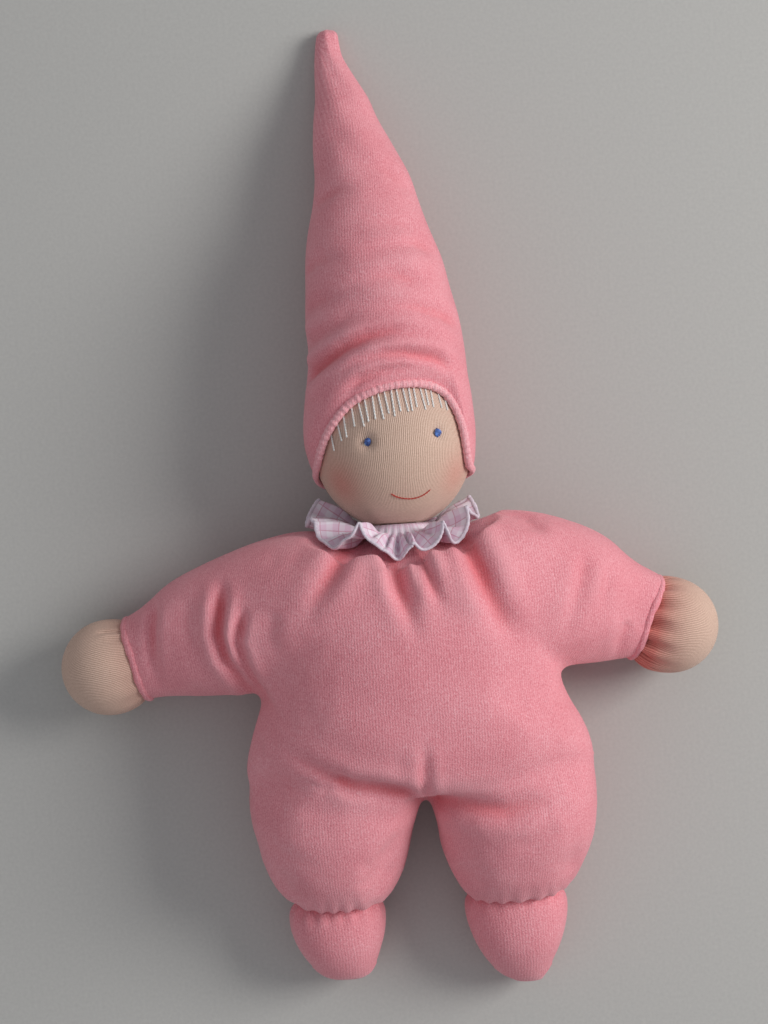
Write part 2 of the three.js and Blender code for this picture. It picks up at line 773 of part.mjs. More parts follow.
const collarSteps = 6 * collarPleats;
const collarShares = [0, 0.4, 0.72, 1];
const collarRings = Array.from({ length: collarSteps }, (_, i) => {
  const angle = -(2 * Math.PI * i) / collarSteps;
  const under = collarShares.map((share) => collarPoint(angle, share, 0));
  const over = collarShares.map((share) => collarPoint(angle, share, 1));
  return [...under, ...over.reverse()];
});
add(doll, "collar", "gingham", atNeck(loopSkin(collarRings)));
const collarRing = new THREE.TorusGeometry(collarThreadRadius, collarThread, 5, fine).rotateX(Math.PI / 2);
const collarRingBelow = neckDishDepth - collarThread - seatGap / 2;
add(doll, "collar_thread", "thread", atNeck(collarRing.translate(0, -collarRingBelow, 0)));

// Head: knitted skin over a wool ball, which two threads shape under the skin
const headSkin = cut(headForm(0, headSides), headForm(-tricotWall, handSides), neckBallInHead);
add(headGroup, "head_skin", "tricot", headSkin);
const coreGrow = -tricotWall - seatGap;

// A thread bound round the wool ball, in the plane of two directions, the inset under its surface.
// Its steps follow the ball's facets.
function boundThread(first, second, inset, grow) {
  const under = coreGrow - headThread - inset;
  const halves = new THREE.Vector3(headHalfWidth + under, headHalfHeight + under, headHalfDepth + under);
  const over = new THREE.Vector3().crossVectors(first, second);
  const rings = Array.from({ length: handSides }, (_, i) => {
    const angle = (2 * Math.PI * i) / handSides;
    const out = first.clone().multiplyScalar(Math.cos(angle)).addScaledVector(second, Math.sin(angle));
    const centre = headCentre.clone().add(out.clone().multiply(halves));
    return Array.from({ length: 5 }, (__, k) => {
      const turn = (2 * Math.PI * k) / 5;
      return centre
        .clone()
        .addScaledVector(out, (headThread + grow) * Math.cos(turn))
        .addScaledVector(over, -(headThread + grow) * Math.sin(turn));
    });
  });
  return solid(loopSkin(rings));
}

const eyeLine = (grow) => boundThread(X, Z, 0, grow);
const chinLine = (grow) => boundThread(X, Y, chinThreadDeeper, grow);
add(
  headGroup,
  "head_filling",
  "wool",
  cut(headForm(coreGrow, handSides), eyeLine(seatGap), chinLine(seatGap), neckBallInHead),
);
add(headGroup, "eye_line_thread", "thread", eyeLine(0));
add(headGroup, "chin_thread", "thread", cut(chinLine(0), neckBallInHead));

// The face is embroidered round its own middle, rolled a little to one side.
function onFace(turn, rise, lift) {
  const cos = Math.cos(faceRoll);
  const sin = Math.sin(faceRoll);
  return onHead(faceTurn + turn * cos - rise * sin, turn * sin + rise * cos, lift);
}

for (const [word, side] of [
  ["left", -1],
  ["right", 1],
]) {
  const at = onFace(side * eyeSpread, eyeRise, seatGap + eyeBulge);
  const out = at.clone().sub(headCentre).normalize();
  const eye = solid(new THREE.SphereGeometry(1, 10, 6).scale(eyeHalfWidth, eyeHalfHeight, eyeBulge));
  const turn = new THREE.Quaternion().setFromUnitVectors(Z, out);
  const placed = new THREE.Matrix4().compose(at, turn, new THREE.Vector3(1, 1, 1));
  add(headGroup, `${word}_eye`, "blueThread", eye.transform(placed.elements));
}

// A thread laid over the head through points of its surface
function threadOver(line, radius, sides) {
  const curve = new THREE.CatmullRomCurve3(line);
  const rings = line.map((at, i) => {
    const along = curve.getTangent(i / (line.length - 1));
    const out = at.clone().sub(headCentre).normalize();
    const over = new THREE.Vector3().crossVectors(along, out).normalize();
    return Array.from({ length: sides }, (_, k) => {
      const angle = (2 * Math.PI * k) / sides;
      return at
        .clone()
        .addScaledVector(out, radius * Math.cos(angle))
        .addScaledVector(over, radius * Math.sin(angle));
    });
  });
  return solid(ringSkin(rings, line[0], line[line.length - 1]));
}

const mouthSteps = 12;
const mouthLine = Array.from({ length: mouthSteps + 1 }, (_, i) => {
  const t = (2 * i) / mouthSteps - 1;
  return onFace(mouthAside + t * mouthSpread, mouthCorner - mouthSag * (1 - t ** 2), mouthThread + seatGap);
});
add(headGroup, "mouth", "redThread", threadOver(mouthLine, mouthThread, 5));

// Hair: straight stitches that hang from the cap's edge, side by side and all the same way
for (let i = 0; i < hairStitches; i++) {
  const share = i / (hairStitches - 1);
  const turn = THREE.MathUtils.lerp(hairLeftTurn, hairRightTurn, share);
  const step = 2 * hairThread / headHalfWidth;
  const fall = (capEdge(turn - step) - capEdge(turn + step)) / (2 * step * headHalfWidth);
  const below = (capHemRadius + 3 * seatGap) * Math.hypot(1, fall);
  const top = onHead(turn, Math.asin((capEdge(turn) - below - headAboveNeck) / headHalfHeight), 0);
  const length = hairLength * (1 - hairShorterAtEndsShare * (2 * share - 1) ** 2);
  const lift = hairThread + seatGap;
  const stitch = [0, 0.5, 1].map((part) => {
    const wide = headHalfWidth + lift;
    const high = headHalfHeight + lift;
    const x = top.x + hairSlantShare * part * length;
    const y = top.y - part * length;
    const front = Math.sqrt(1 - (x / wide) ** 2 - ((y - headAboveNeck) / high) ** 2);
    return new THREE.Vector3(x, y, (headHalfDepth + lift) * front);
  });
  add(headGroup, `hair_stitch_${String(i + 1).padStart(2, "0")}`, "thread", threadOver(stitch, hairThread, 4));
}

// Cap: cloth with a rolled hem, and its wool filling above the head
const headRoom = headForm(2 * seatGap, headSides);
const capFloor = (inset) => floorBlock.translate([0, 0, inset - neckHeight]);
const capHollowEdge = (angle) => capEdge(angle) - capHugLength;
const capHollow = (inset) => capForm(capHollowEdge, inset, capSides, 11);
const capCloth = cut(
  capForm(capEdge, 0, capSides, 12),
  cut(capHollow(velourWall), capFloor(velourWall)),
);
add(
  headGroup,
  "cap",
  "velour",
  cut(join(capCloth, capHem(0)), headRoom, capFloor(0)),
);
const capInside = capHollow(velourWall + seatGap);
const capFillFrom = new THREE.Vector3(0, capFrontEdge + capHemRadius + 3 * seatGap, 0);
const capFill = capInside.intersect(halfSpace(capFillFrom, Math.PI / 2));
add(
  headGroup,
  "cap_filling",
  "wool",
  cut(capFill, headRoom, capHem(2 * seatGap), capFloor(velourWall + seatGap)),
);

// The middle of the footprint becomes the origin.
doll.updateMatrixWorld(true);
const box = new THREE.Box3().setFromObject(doll, true);
const middle = box.getCenter(new THREE.Vector3());
doll.position.set(-middle.x, -middle.y, -box.min.z);

export default doll;
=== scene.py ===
import math

import bmesh
import bpy
import numpy as np
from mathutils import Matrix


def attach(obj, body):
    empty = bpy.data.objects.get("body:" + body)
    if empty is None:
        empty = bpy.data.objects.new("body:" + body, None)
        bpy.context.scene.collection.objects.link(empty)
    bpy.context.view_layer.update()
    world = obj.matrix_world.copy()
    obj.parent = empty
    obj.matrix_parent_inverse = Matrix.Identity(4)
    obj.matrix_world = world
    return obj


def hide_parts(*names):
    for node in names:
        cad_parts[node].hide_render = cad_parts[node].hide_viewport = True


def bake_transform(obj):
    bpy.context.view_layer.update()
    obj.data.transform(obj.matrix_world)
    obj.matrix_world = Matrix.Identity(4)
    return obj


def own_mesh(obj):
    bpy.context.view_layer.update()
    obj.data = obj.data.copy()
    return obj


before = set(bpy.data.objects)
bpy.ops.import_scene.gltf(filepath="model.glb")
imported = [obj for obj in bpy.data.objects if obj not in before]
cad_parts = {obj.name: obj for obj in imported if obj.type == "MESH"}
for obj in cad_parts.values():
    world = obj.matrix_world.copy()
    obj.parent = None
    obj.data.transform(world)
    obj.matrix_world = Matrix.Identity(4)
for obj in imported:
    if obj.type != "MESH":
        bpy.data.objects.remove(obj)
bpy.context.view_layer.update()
MM = 0.001
rad = np.radians

# Camera. It looks straight down on the doll from 750 mm above the table, turned 4 degrees, and takes
# in 326 by 435 mm of the table.
camera_height, half_seen = 0.75, 0.2176
camera_middle, camera_turn = (0.0015, -0.0021), -4.05
camera = bpy.data.objects.new("camera", bpy.data.cameras.new("camera"))
camera.location = (*camera_middle, camera_height)
camera.rotation_euler = (0, 0, math.radians(camera_turn))
camera.data.lens = camera.data.sensor_width / 2 * camera_height / half_seen
camera.data.clip_start, camera.data.clip_end = 0.01, 20
bpy.context.scene.collection.objects.link(camera)
bpy.context.scene.camera = camera
bpy.context.scene.view_settings.view_transform = "Standard"


def srgb(red, green, blue):
    """A colour written in 0 to 255 as the linear values that the shaders take."""
    c = np.array([red, green, blue]) / 255
    return (*np.where(c < 0.04045, c / 12.92, ((c + 0.055) / 1.055) ** 2.4), 1.0)


def material(name, **sockets):
    """A Principled material, and a maker of nodes in it: node(type, inputs, settings) gives its first output."""
    made = bpy.data.materials.new(name)
    made.use_nodes = True
    tree = made.node_tree
    shader = tree.nodes["Principled BSDF"]
    for key, value in sockets.items():
        shader.inputs[key.replace("_", " ")].default_value = value

    def node(kind, inputs=None, out=0, **settings):
        n = tree.nodes.new("ShaderNode" + kind)
        for key, value in settings.items():
            setattr(n, key, value)
        for key, value in (inputs or {}).items():
            if isinstance(value, bpy.types.NodeSocket):
                tree.links.new(value, n.inputs[key])
            else:
                n.inputs[key].default_value = value
        return n.outputs[out]

    def put(socket, output):
        tree.links.new(output, shader.inputs[socket])

    return made, node, put


def maths(node, operation, *values):
    return node("Math", dict(enumerate(values)), operation=operation)


def mixed(node, factor, first, second):
    """Two colours mixed by a factor."""
    return node("Mix", {0: factor, 6: first, 7: second}, out=2, data_type="RGBA")


def noise(node, scale, detail, **more):
    """Noise in the object's own space."""
    return node("TexNoise", {"Vector": node("TexCoord", out=3), "Scale": scale, "Detail": detail, **more})


def waves(node, value, pitch):
    """A sine wave of a value, with its pitch in the value's unit."""
    return maths(node, "SINE", maths(node, "MULTIPLY", value, 2 * math.pi / pitch))


# Table: a plain pale cloth-covered top, lit by one large soft lamp from the right and a pale sky.
table_cloth, node, put = material("table_cloth", Roughness=0.95)
put("Base Color", mixed(node, noise(node, 700.0, 3.0), srgb(180, 179, 176), srgb(196, 195, 191)))
bpy.ops.mesh.primitive_plane_add(size=8, location=(0, 0, 0))
table = bpy.context.object
table.name = "table"
table.data.materials.append(table_cloth)


def lamp(name, place, target, size, watts, colour):
    """A square area lamp at a place, facing a target."""
    light = bpy.data.lights.new(name, "AREA")
    light.size, light.energy, light.color = size, watts, colour
    made = bpy.data.objects.new(name, light)
    made.location = place
    aim = np.array(target) - np.array(place)
    made.rotation_euler = (
        math.atan2(math.hypot(aim[0], aim[1]), -aim[2]),
        0,
        math.atan2(aim[1], aim[0]) - math.pi / 2,
    )
    bpy.context.scene.collection.objects.link(made)


lamp("window", (1.3, 0.3, 0.85), (0, 0, 0.03), 0.7, 18, (1.0, 0.985, 0.96))
lamp("wall", (-1.0, -0.8, 1.4), (0, 0, 0.03), 1.6, 1.5, (0.95, 0.97, 1.0))
world = bpy.data.worlds.new("sky")
world.use_nodes = True
world.node_tree.nodes["Background"].inputs[0].default_value = (0.93, 0.95, 1.0, 1)
world.node_tree.nodes["Background"].inputs[1].default_value = 0.36
bpy.context.scene.world = world


# Suit: one bag of nicki velour, front and back panels sewn together round the edge and stuffed with wool. It is one
# skin from hands to feet, and is parted at the shoulders and hips.
def bell(x, width):
    """A Gaussian hump of height 1."""
    return np.exp(-((x / width) ** 2))


def unit(v, guard=0.0):
    """Vectors brought to length 1. The guard keeps a zero vector from dividing by zero."""
    return v / (np.linalg.norm(v, axis=-1)[..., None] + guard)


def circle(count):
    """Angles evenly round a full turn."""
    return np.linspace(0, 2 * np.pi, count, endpoint=False)


def powered(x, power):
    """A power that keeps the sign."""
    return np.sign(x) * np.abs(x) ** power


def smooth_rows(rows, count):
    """Rows of numbers resampled by a Catmull-Rom curve through them."""
    rows = np.asarray(rows, float)
    at = np.linspace(0, len(rows) - 1, count)
    low = np.minimum(at.astype(int), len(rows) - 2)
    t = (at - low)[:, None]
    p = [rows[np.clip(low + k, 0, len(rows) - 1)] for k in (-1, 0, 1, 2)]
    v0, v1 = (p[2] - p[0]) / 2, (p[3] - p[1]) / 2
    return (2 * p[1] - 2 * p[2] + v0 + v1) * t**3 + (3 * p[2] - 3 * p[1] - 2 * v0 - v1) * t**2 + v0 * t + p[1]


def skin_faces(rings, sides, loop=False):
    """Quads between rings of points, and a fan at each end to a point that comes last but one and last."""
    k, i = np.meshgrid(np.arange(sides), np.arange(rings - (0 if loop else 1)), indexing="xy")
    j, n = (i + 1) % rings, (k + 1) % sides
    quads = np.stack([i * sides + k, i * sides + n, j * sides + n, j * sides + k], -1).reshape(-1, 4).tolist()
    if loop:
        return quads
    ends, k = rings * sides, np.arange(sides)
    n = (k + 1) % sides
    start = np.stack([np.full(sides, ends), n, k], -1)
    stop = np.stack([np.full(sides, ends + 1), (rings - 1) * sides + k, (rings - 1) * sides + n], -1)
    return quads + start.tolist() + stop.tolist()


def add_piece(name, co, faces, *finishes):
    """A mesh object at the origin, smooth shaded."""
    mesh = bpy.data.meshes.new(name)
    faces = faces.tolist() if isinstance(faces, np.ndarray) else faces
    mesh.from_pydata(np.asarray(co, float).tolist(), [], faces)
    mesh.polygons.foreach_set("use_smooth", np.ones(len(mesh.polygons), bool))
    for finish in finishes:
        mesh.materials.append(finish)
    made = bpy.data.objects.new(name, mesh)
    bpy.context.scene.collection.objects.link(made)
    return made


def stuffed_tube(rows, count, sides, fullness=2.25):
    """Upright superellipse sections along a line in mm: x, y, z of the middle, half width across, half
    depth, and the heading in degrees that each section faces. Its ends are closed by a point."""
    rows = smooth_rows(rows, count)
    wide, high = powered(np.cos(circle(sides)), 2 / fullness), powered(np.sin(circle(sides)), 2 / fullness)
    heading = rad(rows[:, 5])
    across = np.stack([-np.sin(heading), np.cos(heading), 0 * heading], -1)
    co = rows[:, None, :3] + across[:, None] * (rows[:, 3, None] * wide)[..., None]
    co[..., 2] += rows[:, 4, None] * high
    ends = rows[[0, -1], :3]
    way = np.stack([np.cos(heading[[0, -1]]), np.sin(heading[[0, -1]]), [0, 0]], -1)
    ends = ends + way * np.array([[-1.0], [1.0]]) * rows[[0, -1], 4][:, None] * 0.1
    return np.vstack([co.reshape(-1, 3), ends]) * MM, skin_faces(count, sides)


# x, y, z of the middle, half width, half depth, heading
trunk_rows = [
    [6.9, -10.2, 35.5, 30, 10, -90],
    [6.9, -14.5, 35.5, 42, 18.5, -90],
    [6.9, -23, 36, 50, 28.5, -90],
    [7, -37, 36.5, 55, 35, -90],
    [7.1, -54, 37, 57, 37.7, -90],
    [7.3, -70, 37.3, 57.8, 38, -90],
    [7.6, -82, 37.2, 60.5, 37.8, -90],
    [8.2, -92, 36.5, 65, 37, -90],
    [8.6, -102, 34.8, 67.8, 35, -90],
    [8.9, -108.5, 32, 67.5, 31.5, -90],
    [8.9, -113.5, 30, 62, 28, -90],
]
left_sleeve_rows = [
    [0, -41.5, 36.5, 32, 36.5, 180],
    [-17, -42, 35.5, 33, 35.8, 180],
    [-33, -42.3, 33.3, 32.6, 33.7, 180],
    [-53.5, -44.2, 28.7, 30.4, 29.2, 183],
    [-69, -46.7, 26, 26.8, 26.5, 186],
    [-84, -49.6, 22.6, 22.8, 23, 189],
    [-96, -53, 19.6, 19.3, 19.9, 191],
    [-102, -54.6, 18.9, 17.9, 18.4, 191],
    [-106, -55.6, 18.9, 16.9, 17, 190],
    [-107, -55.8, 18.9, 15.6, 15.6, 190],
]
right_sleeve_rows = [
    [14, -41, 36.5, 32.5, 36.5, 0],
    [30, -40.5, 35.5, 33.6, 35.8, 0],
    [46, -40.2, 33.3, 33.4, 33.7, 0],
    [60, -40.5, 30.3, 32, 30.6, -2],
    [72, -42, 27.6, 29.4, 28, -4],
    [83, -44.5, 24.8, 26.2, 25.2, -7],
    [93, -48, 21.6, 22.2, 22, -10],
    [100.5, -50.4, 19.4, 19.5, 19.6, -12],
    [106, -52, 19, 17.8, 18, -12],
    [109.6, -52.8, 19, 16.6, 16.6, -12],
    [110.4, -53, 19, 15.4, 15.4, -12],
]
left_leg_rows = [
    [-24, -92, 31, 29, 29, -90],
    [-24.8, -106, 30.8, 33, 30.8, -90],
    [-24.6, -118.4, 30.5, 34.4, 31, -90],
    [-26.2, -130, 29.8, 31.4, 30.3, -90],
    [-26.7, -141, 27.6, 28.6, 28.1, -90],
    [-26.6, -150, 25.2, 25, 25.2, -90],
    [-26.2, -156.5, 22.8, 20.8, 21.6, -90],
    [-26.4, -160.5, 21.4, 16.8, 18, -90],
    [-26.8, -162.5, 20.6, 12.5, 13.6, -90],
]
right_leg_rows = [
    [41.5, -92, 31, 29, 29, -90],
    [43.4, -106, 30.8, 32.6, 30.8, -90],
    [44.6, -119, 30.5, 32.8, 31, -90],
    [45.2, -130, 29.8, 31.3, 30.3, -90],
    [44.6, -141, 27.6, 29.2, 28.1, -90],
    [43.8, -151, 25, 25.4, 25, -90],
    [43.3, -157.5, 22.6, 21.4, 21.4, -90],
    [43.2, -161.5, 21.4, 17.4, 18, -90],
    [43.2, -163.6, 20.6, 13, 13.6, -90],
]


def read(items, name, width, kind=float):
    """One property of a mesh's points, edges, corners or faces, a row for each."""
    made = np.empty(len(items) * width, kind)
    items.foreach_get(name, made)
    return made.reshape(-1, width)


def arrays(mesh):
    """A mesh's points and vertex normals as arrays."""
    return read(mesh.vertices, "co", 3), read(mesh.vertices, "normal", 3)


def edge_list(mesh):
    return read(mesh.edges, "vertices", 2, int)


def corner_points(mesh):
    """The number of the point at each corner of each face."""
    return read(mesh.loops, "vertex_index", 1, int)[:, 0]


def set_uv(mesh, uv):
    """The UV map that the materials read, from a row for each corner, in metres."""
    mesh.uv_layers.new(name="cloth").data.foreach_set("uv", uv.astype(np.float32).ravel())


def set_value(mesh, name, values):
    """A number at each point, which a material reads by its name."""
    mesh.attributes.new(name, "FLOAT", "POINT").data.foreach_set("value", np.asarray(values, np.float32))


def spread(edges, values, count):
    """For each vertex, the sum of values over its edges' other ends."""
    return np.stack(
        [np.bincount(edges.ravel(), values[edges[:, ::-1].ravel(), c], count) for c in range(values.shape[1])], -1
    )


def relaxed(co, edges, rounds, share=0.5, back=-0.52):
    """Points smoothed without shrinking: each round moves them towards the mean of their neighbours and
    then a little further back."""
    degree = np.bincount(edges.ravel(), minlength=len(co))[:, None]
    for _ in range(rounds):
        for move in (share, back):
            co = co + move * (spread(edges, co, len(co)) / degree - co)
    return co


def set_points(obj, co):
    obj.data.vertices.foreach_set("co", np.asarray(co, np.float32).ravel())
    obj.data.update()


def applied(obj, kind, **settings):
    """One modifier added and applied to an object's mesh."""
    modifier = obj.modifiers.new(kind, kind)
    for key, value in settings.items():
        setattr(modifier, key, value)
    depsgraph = bpy.context.evaluated_depsgraph_get()
    mesh = bpy.data.meshes.new_from_object(obj.evaluated_get(depsgraph))
    obj.modifiers.clear()
    obj.data = mesh
    return obj


def joined(parts):
    """Several (points, faces) as one."""
    starts = np.cumsum([0] + [len(co) for co, _ in parts])
    faces = [[v + start for v in face] for (_, faces), start in zip(parts, starts) for face in faces]
    return np.vstack([co for co, _ in parts]), faces


tubes = ((trunk_rows, 36), (left_sleeve_rows, 30), (right_sleeve_rows, 30), (left_leg_rows, 24), (right_leg_rows, 24))
suit = add_piece("suit_form", *joined([stuffed_tube(rows, count, 40) for rows, count in tubes]))


def step(x, low, high):
    """A smooth step from 0 at low to 1 at high."""
    t = np.clip((x - low) / (high - low), 0, 1)
    return t * t * (3 - 2 * t)


def filled(obj, pressure, most, held, frames=20):
    """Cloth filled from inside: Blender's cloth under pressure, cut a little wide. No point moves further
    than the given distance, and none close to a place where the cloth is tied or sewn: its x, y, z and
    reach in mm."""
    rest, _ = arrays(obj.data)
    free = 1.0
    for *place, reach in held:
        free = free * step(np.linalg.norm(rest / MM - place, axis=1), 0.7 * reach, 1.5 * reach)
    cloth = obj.modifiers.new("filling", "CLOTH")
    cloth.settings.quality = 4
    cloth.settings.use_pressure, cloth.settings.uniform_pressure_force = True, pressure
    cloth.settings.effector_weights.gravity = 0
    cloth.settings.shrink_min = -0.04
    cloth.settings.bending_stiffness = 0.3
    cloth.point_cache.frame_start, cloth.point_cache.frame_end = 1, frames
    scene = bpy.context.scene
    for number in range(1, frames + 1):
        scene.frame_set(number)
    settled = obj.evaluated_get(bpy.context.evaluated_depsgraph_get()).to_mesh()
    moved = arrays(settled)[0] - rest
    obj.modifiers.clear()
    scene.frame_set(1)
    length = np.linalg.norm(moved, axis=1)[:, None] + 1e-9
    set_points(obj, rest + moved * np.minimum(1, most / length) * free[:, None])


# The suit's remesh, the pressure of its filling and the furthest that a point may bulge
suit_voxel, suit_pressure, suit_bulge = 2.4 * MM, 4.0, 2.8 * MM
# Where the suit is tied or sewn: the neck, the wrists, the crotch and the ankles
held = [
    (6.9, -8.6, 36, 30),
    (-97, -55.5, 19, 22),
    (97.5, -52.7, 19, 22),
    (10.3, -124, 30, 20),
    (-28.6, -160, 18, 18),
    (44.3, -160, 18, 18),
]
applied(suit, "REMESH", mode="VOXEL", voxel_size=suit_voxel)
co, _ = arrays(suit.data)
set_points(suit, relaxed(co, edge_list(suit.data), 6))
filled(suit, suit_pressure, suit_bulge, held)
co, _ = arrays(suit.data)
set_points(suit, relaxed(co, edge_list(suit.data), 2))
applied(suit, "SUBSURF", levels=1)


def near_line(xy, line):
    """The least distance in the plane from each point to a line of points, and how far along it, 0 to 1."""
    line = np.array(line, float)
    a, b = line[:-1], line[1:]
    d = b - a
    t = np.clip(((xy[:, None] - a) * d).sum(-1) / (d**2).sum(-1), 0, 1)
    gap = np.linalg.norm(xy[:, None] - (a + t[..., None] * d), axis=-1)
    best = gap.argmin(1)
    rows = np.arange(len(xy))
    return gap[rows, best], (best + t[rows, best]) / len(a)


def fold(gap, along, depth, width):
    """The height of a fold: a valley with a soft shoulder on either side, which starts soon and dies out
    slowly."""
    ends = step(along, 0, 0.2) * step(1 - along, 0, 0.6)
    return depth * ends * (0.4 * bell(gap - 2 * width, 1.3 * width) - bell(gap, width))


# Folds on the front: the line in mm, its depth and its width
front_folds = [
    ([(29, -9), (33, -17), (37, -27), (40, -36), (46, -50), (54, -64)], 4.2, 4.2),
    ([(3, -10), (3.8, -21), (5.5, -31), (8.8, -44), (12, -56)], 3.2, 3.0),
    ([(11.5, -10), (14.2, -20), (18.5, -33), (23, -44)], 2.7, 2.3),
    ([(-11, -9), (-14.6, -16), (-20, -24), (-28, -35), (-34, -46)], 2.8, 3.6),
    ([(22, -9), (24, -19), (28, -32)], 1.0, 2.4),
    ([(-64, -22), (-65.6, -34), (-67.2, -45), (-65, -55), (-58, -68), (-51, -77), (-44, -84)], 3.6, 2.5),
    ([(-55.5, -34), (-57.6, -42), (-59.4, -49), (-57.2, -58.5), (-53, -68), (-47, -77), (-41, -83)], 2.9, 2.1),
    ([(-78, -30), (-80, -42), (-77, -58)], 0.8, 3.4),
    ([(-44, -36), (-46, -48), (-42, -62)], 0.8, 3.0),
    ([(-93, -30), (-95, -44), (-95.4, -55), (-93, -72)], 2.0, 2.3),
    ([(81, -22), (77, -35), (72, -48), (66, -62)], 1.2, 3.0),
    ([(90, -30), (87, -40), (83, -50)], 0.8, 2.4),
    ([(97, -52), (93, -60), (90, -70)], 1.1, 2.4),
    ([(9, -118), (3, -112.6), (-6, -109.6), (-19, -106.4), (-28, -102.5), (-40, -95), (-54, -86)], 3.0, 3.2),
    ([(-24.5, -103.5), (-20.5, -107), (-13, -112.5)], 1.1, 2.2),
    ([(9, -118), (15, -117), (27, -119.4), (41, -121.8), (56, -119.7), (68, -113)], 2.8, 4.0),
    ([(10.4, -119), (10.2, -108), (10.6, -97), (11, -88)], 1.3, 2.2),
    ([(-56, -128), (-45, -136), (-30, -140)], 0.6, 3.6),
    ([(62, -128), (50, -136), (38, -138)], 0.6, 3.6),
]
neck = np.array([6.9, -8.6, 36.0])
neck_pleats = 17

# The collar's thread: its y and its radius. The suit is pressed down below the collar, and the press
# fades out past its edge.
collar_root, collar_start = -10.4, 12.2
collar_press, press_fade = 2.6, 7

# Lobes of the collar: turn from straight ahead in degrees, and how far its edge stands up there, 0 to 1
lobes = [
    (-170, 0.2), (-158, 1), (-145, 0), (-131, 1), (-118, 0), (-101, 1), (-84, 0.05), (-70, 0.4), (-54, 0),
    (-29, 0.95), (-19, 0.5), (-1, 0), (9, 0.55), (22, 0.15), (34, 0.85), (48, 0), (62, 0.75), (76, 0.1),
    (90, 1), (104, 0.1), (118, 1), (131, 0), (145, 1), (158, 0), (172, 1), (190, 0.2),
]


def lobe_wave(turn):
    """How far the edge stands up by the turn: half cosines between the lobes' tops and bottoms, averaged
    over 8 degrees so that no lobe has a sharp crest."""
    knots, values = np.array(lobes, float).T
    total = 0
    for off in (-4, -2, 0, 2, 4):
        signed = (np.degrees(turn) + off + 170) % 360 - 170
        i = np.clip(np.searchsorted(knots, signed, side="right") - 1, 0, len(knots) - 2)
        t = (signed - knots[i]) / (knots[i + 1] - knots[i])
        total = total + (values[i] + (values[i + 1] - values[i]) * (1 - np.cos(np.pi * t)) / 2) / 5
    return total


def collar_low(beside):
    """The slope in degrees of the collar's lowest lobes: steep over the chest, level at the shoulders."""
    return -38 + 50 * beside**1.5


def collar_high(beside):
    """The slope in degrees of the collar's highest lobes."""
    return 9 + 29 * beside


def collar_reach(beside):
    """The collar's width in mm: narrower in front than at the shoulders."""
    return 17.0 + 8 * beside


def furrow(co, normals):
    """How far each point of the suit moves along its normal, in mm, for the folds and the neck's gathers."""
    p = co / MM
    height = np.zeros(len(p))
    front = step(normals[:, 2], -0.25, 0.45)
    for line, depth, width in front_folds:
        gap, along = near_line(p[:, :2], line)
        close = gap < 6 * width
        height[close] += (fold(gap, along, depth, width) * front)[close]
    turn = np.arctan2(p[:, 0] - neck[0], p[:, 2] - neck[2])
    reach = np.linalg.norm((p - neck) * [0.9, 1.0, 0.9], axis=1)
    gathers = np.cos(neck_pleats * turn + 1.3 * np.sin(2 * turn))
    height += 0.7 * gathers * bell(reach - 19, 10) * step(p[:, 1], -60, -20)
    height -= 0.65 * bell(normals[:, 2] - 0.1, 0.055)
    height += 0.5 * np.sin(p[:, 0] + 1.2 * np.sin(p[:, 0] / 5)) * step(-normals[:, 1], 0.6, 0.95) * (p[:, 1] < -140)
    height += 0.4 * np.sin(p[:, 0] / 9.0 + 1.7 * np.sin(p[:, 1] / 13)) * np.cos(p[:, 1] / 11 + p[:, 2] / 14)
    return height


# The wrist pockets: a hand's ball sits in the end of each sleeve, and its gathered tail in a hollow behind
# it. The radii of both in mm, and for each side the middle of the joint and the way out of the sleeve.
hand_radius, tail_hollow = 19.8, 11.2
wrists = {
    "left": (np.array([-97.07, -55.48, 19.3]), np.array([-0.9903, -0.1392, 0])),
    "right": (np.array([97.46, -52.71, 19.3]), np.array([0.9744, -0.225, 0])),
}


def from_joint(co, joint, way):
    """How far points lie out of a joint along its way, and the vectors aside of it, in mm."""
    p = co / MM - joint
    along = p @ way
    return along, p - along[:, None] * way


def pushed_in(co, joint, way, ball, hollow):
    """Points of a limb's end inside the ball that sits there or the hollow behind it, pushed back along the
    limb to the near side."""
    along, aside = from_joint(co, joint, way)
    aside = np.linalg.norm(aside, axis=1)
    bowl = ball - np.sqrt(np.maximum((ball + 1.1) ** 2 - aside**2, 0))
    back = -np.sqrt(np.maximum(hollow**2 - aside**2, 0))
    bowl = np.where(aside < hollow, np.minimum(bowl, back), bowl)
    inside = (aside < ball * 0.93) & (along > bowl) & (along < ball)
    return co + np.where(inside, bowl - along, 0)[:, None] * way * MM


# The fork of the trousers is drawn up: how far, round which place, and over what width and height, in mm
fork_pull, fork_at, fork_size = 3.6, (10.3, -122), (4.2, 4.5)
co, _ = arrays(suit.data)
off = (co[:, :2] / MM - fork_at) / fork_size
co[:, 1] += fork_pull * MM * np.exp(-(off[:, 0] ** 2) - off[:, 1] ** 2)
set_points(suit, co)
co, normals = arrays(suit.data)
co = co + (furrow(co, normals) * MM)[:, None] * normals
for joint, way in wrists.values():
    co = pushed_in(co, joint, way, hand_radius, tail_hollow)


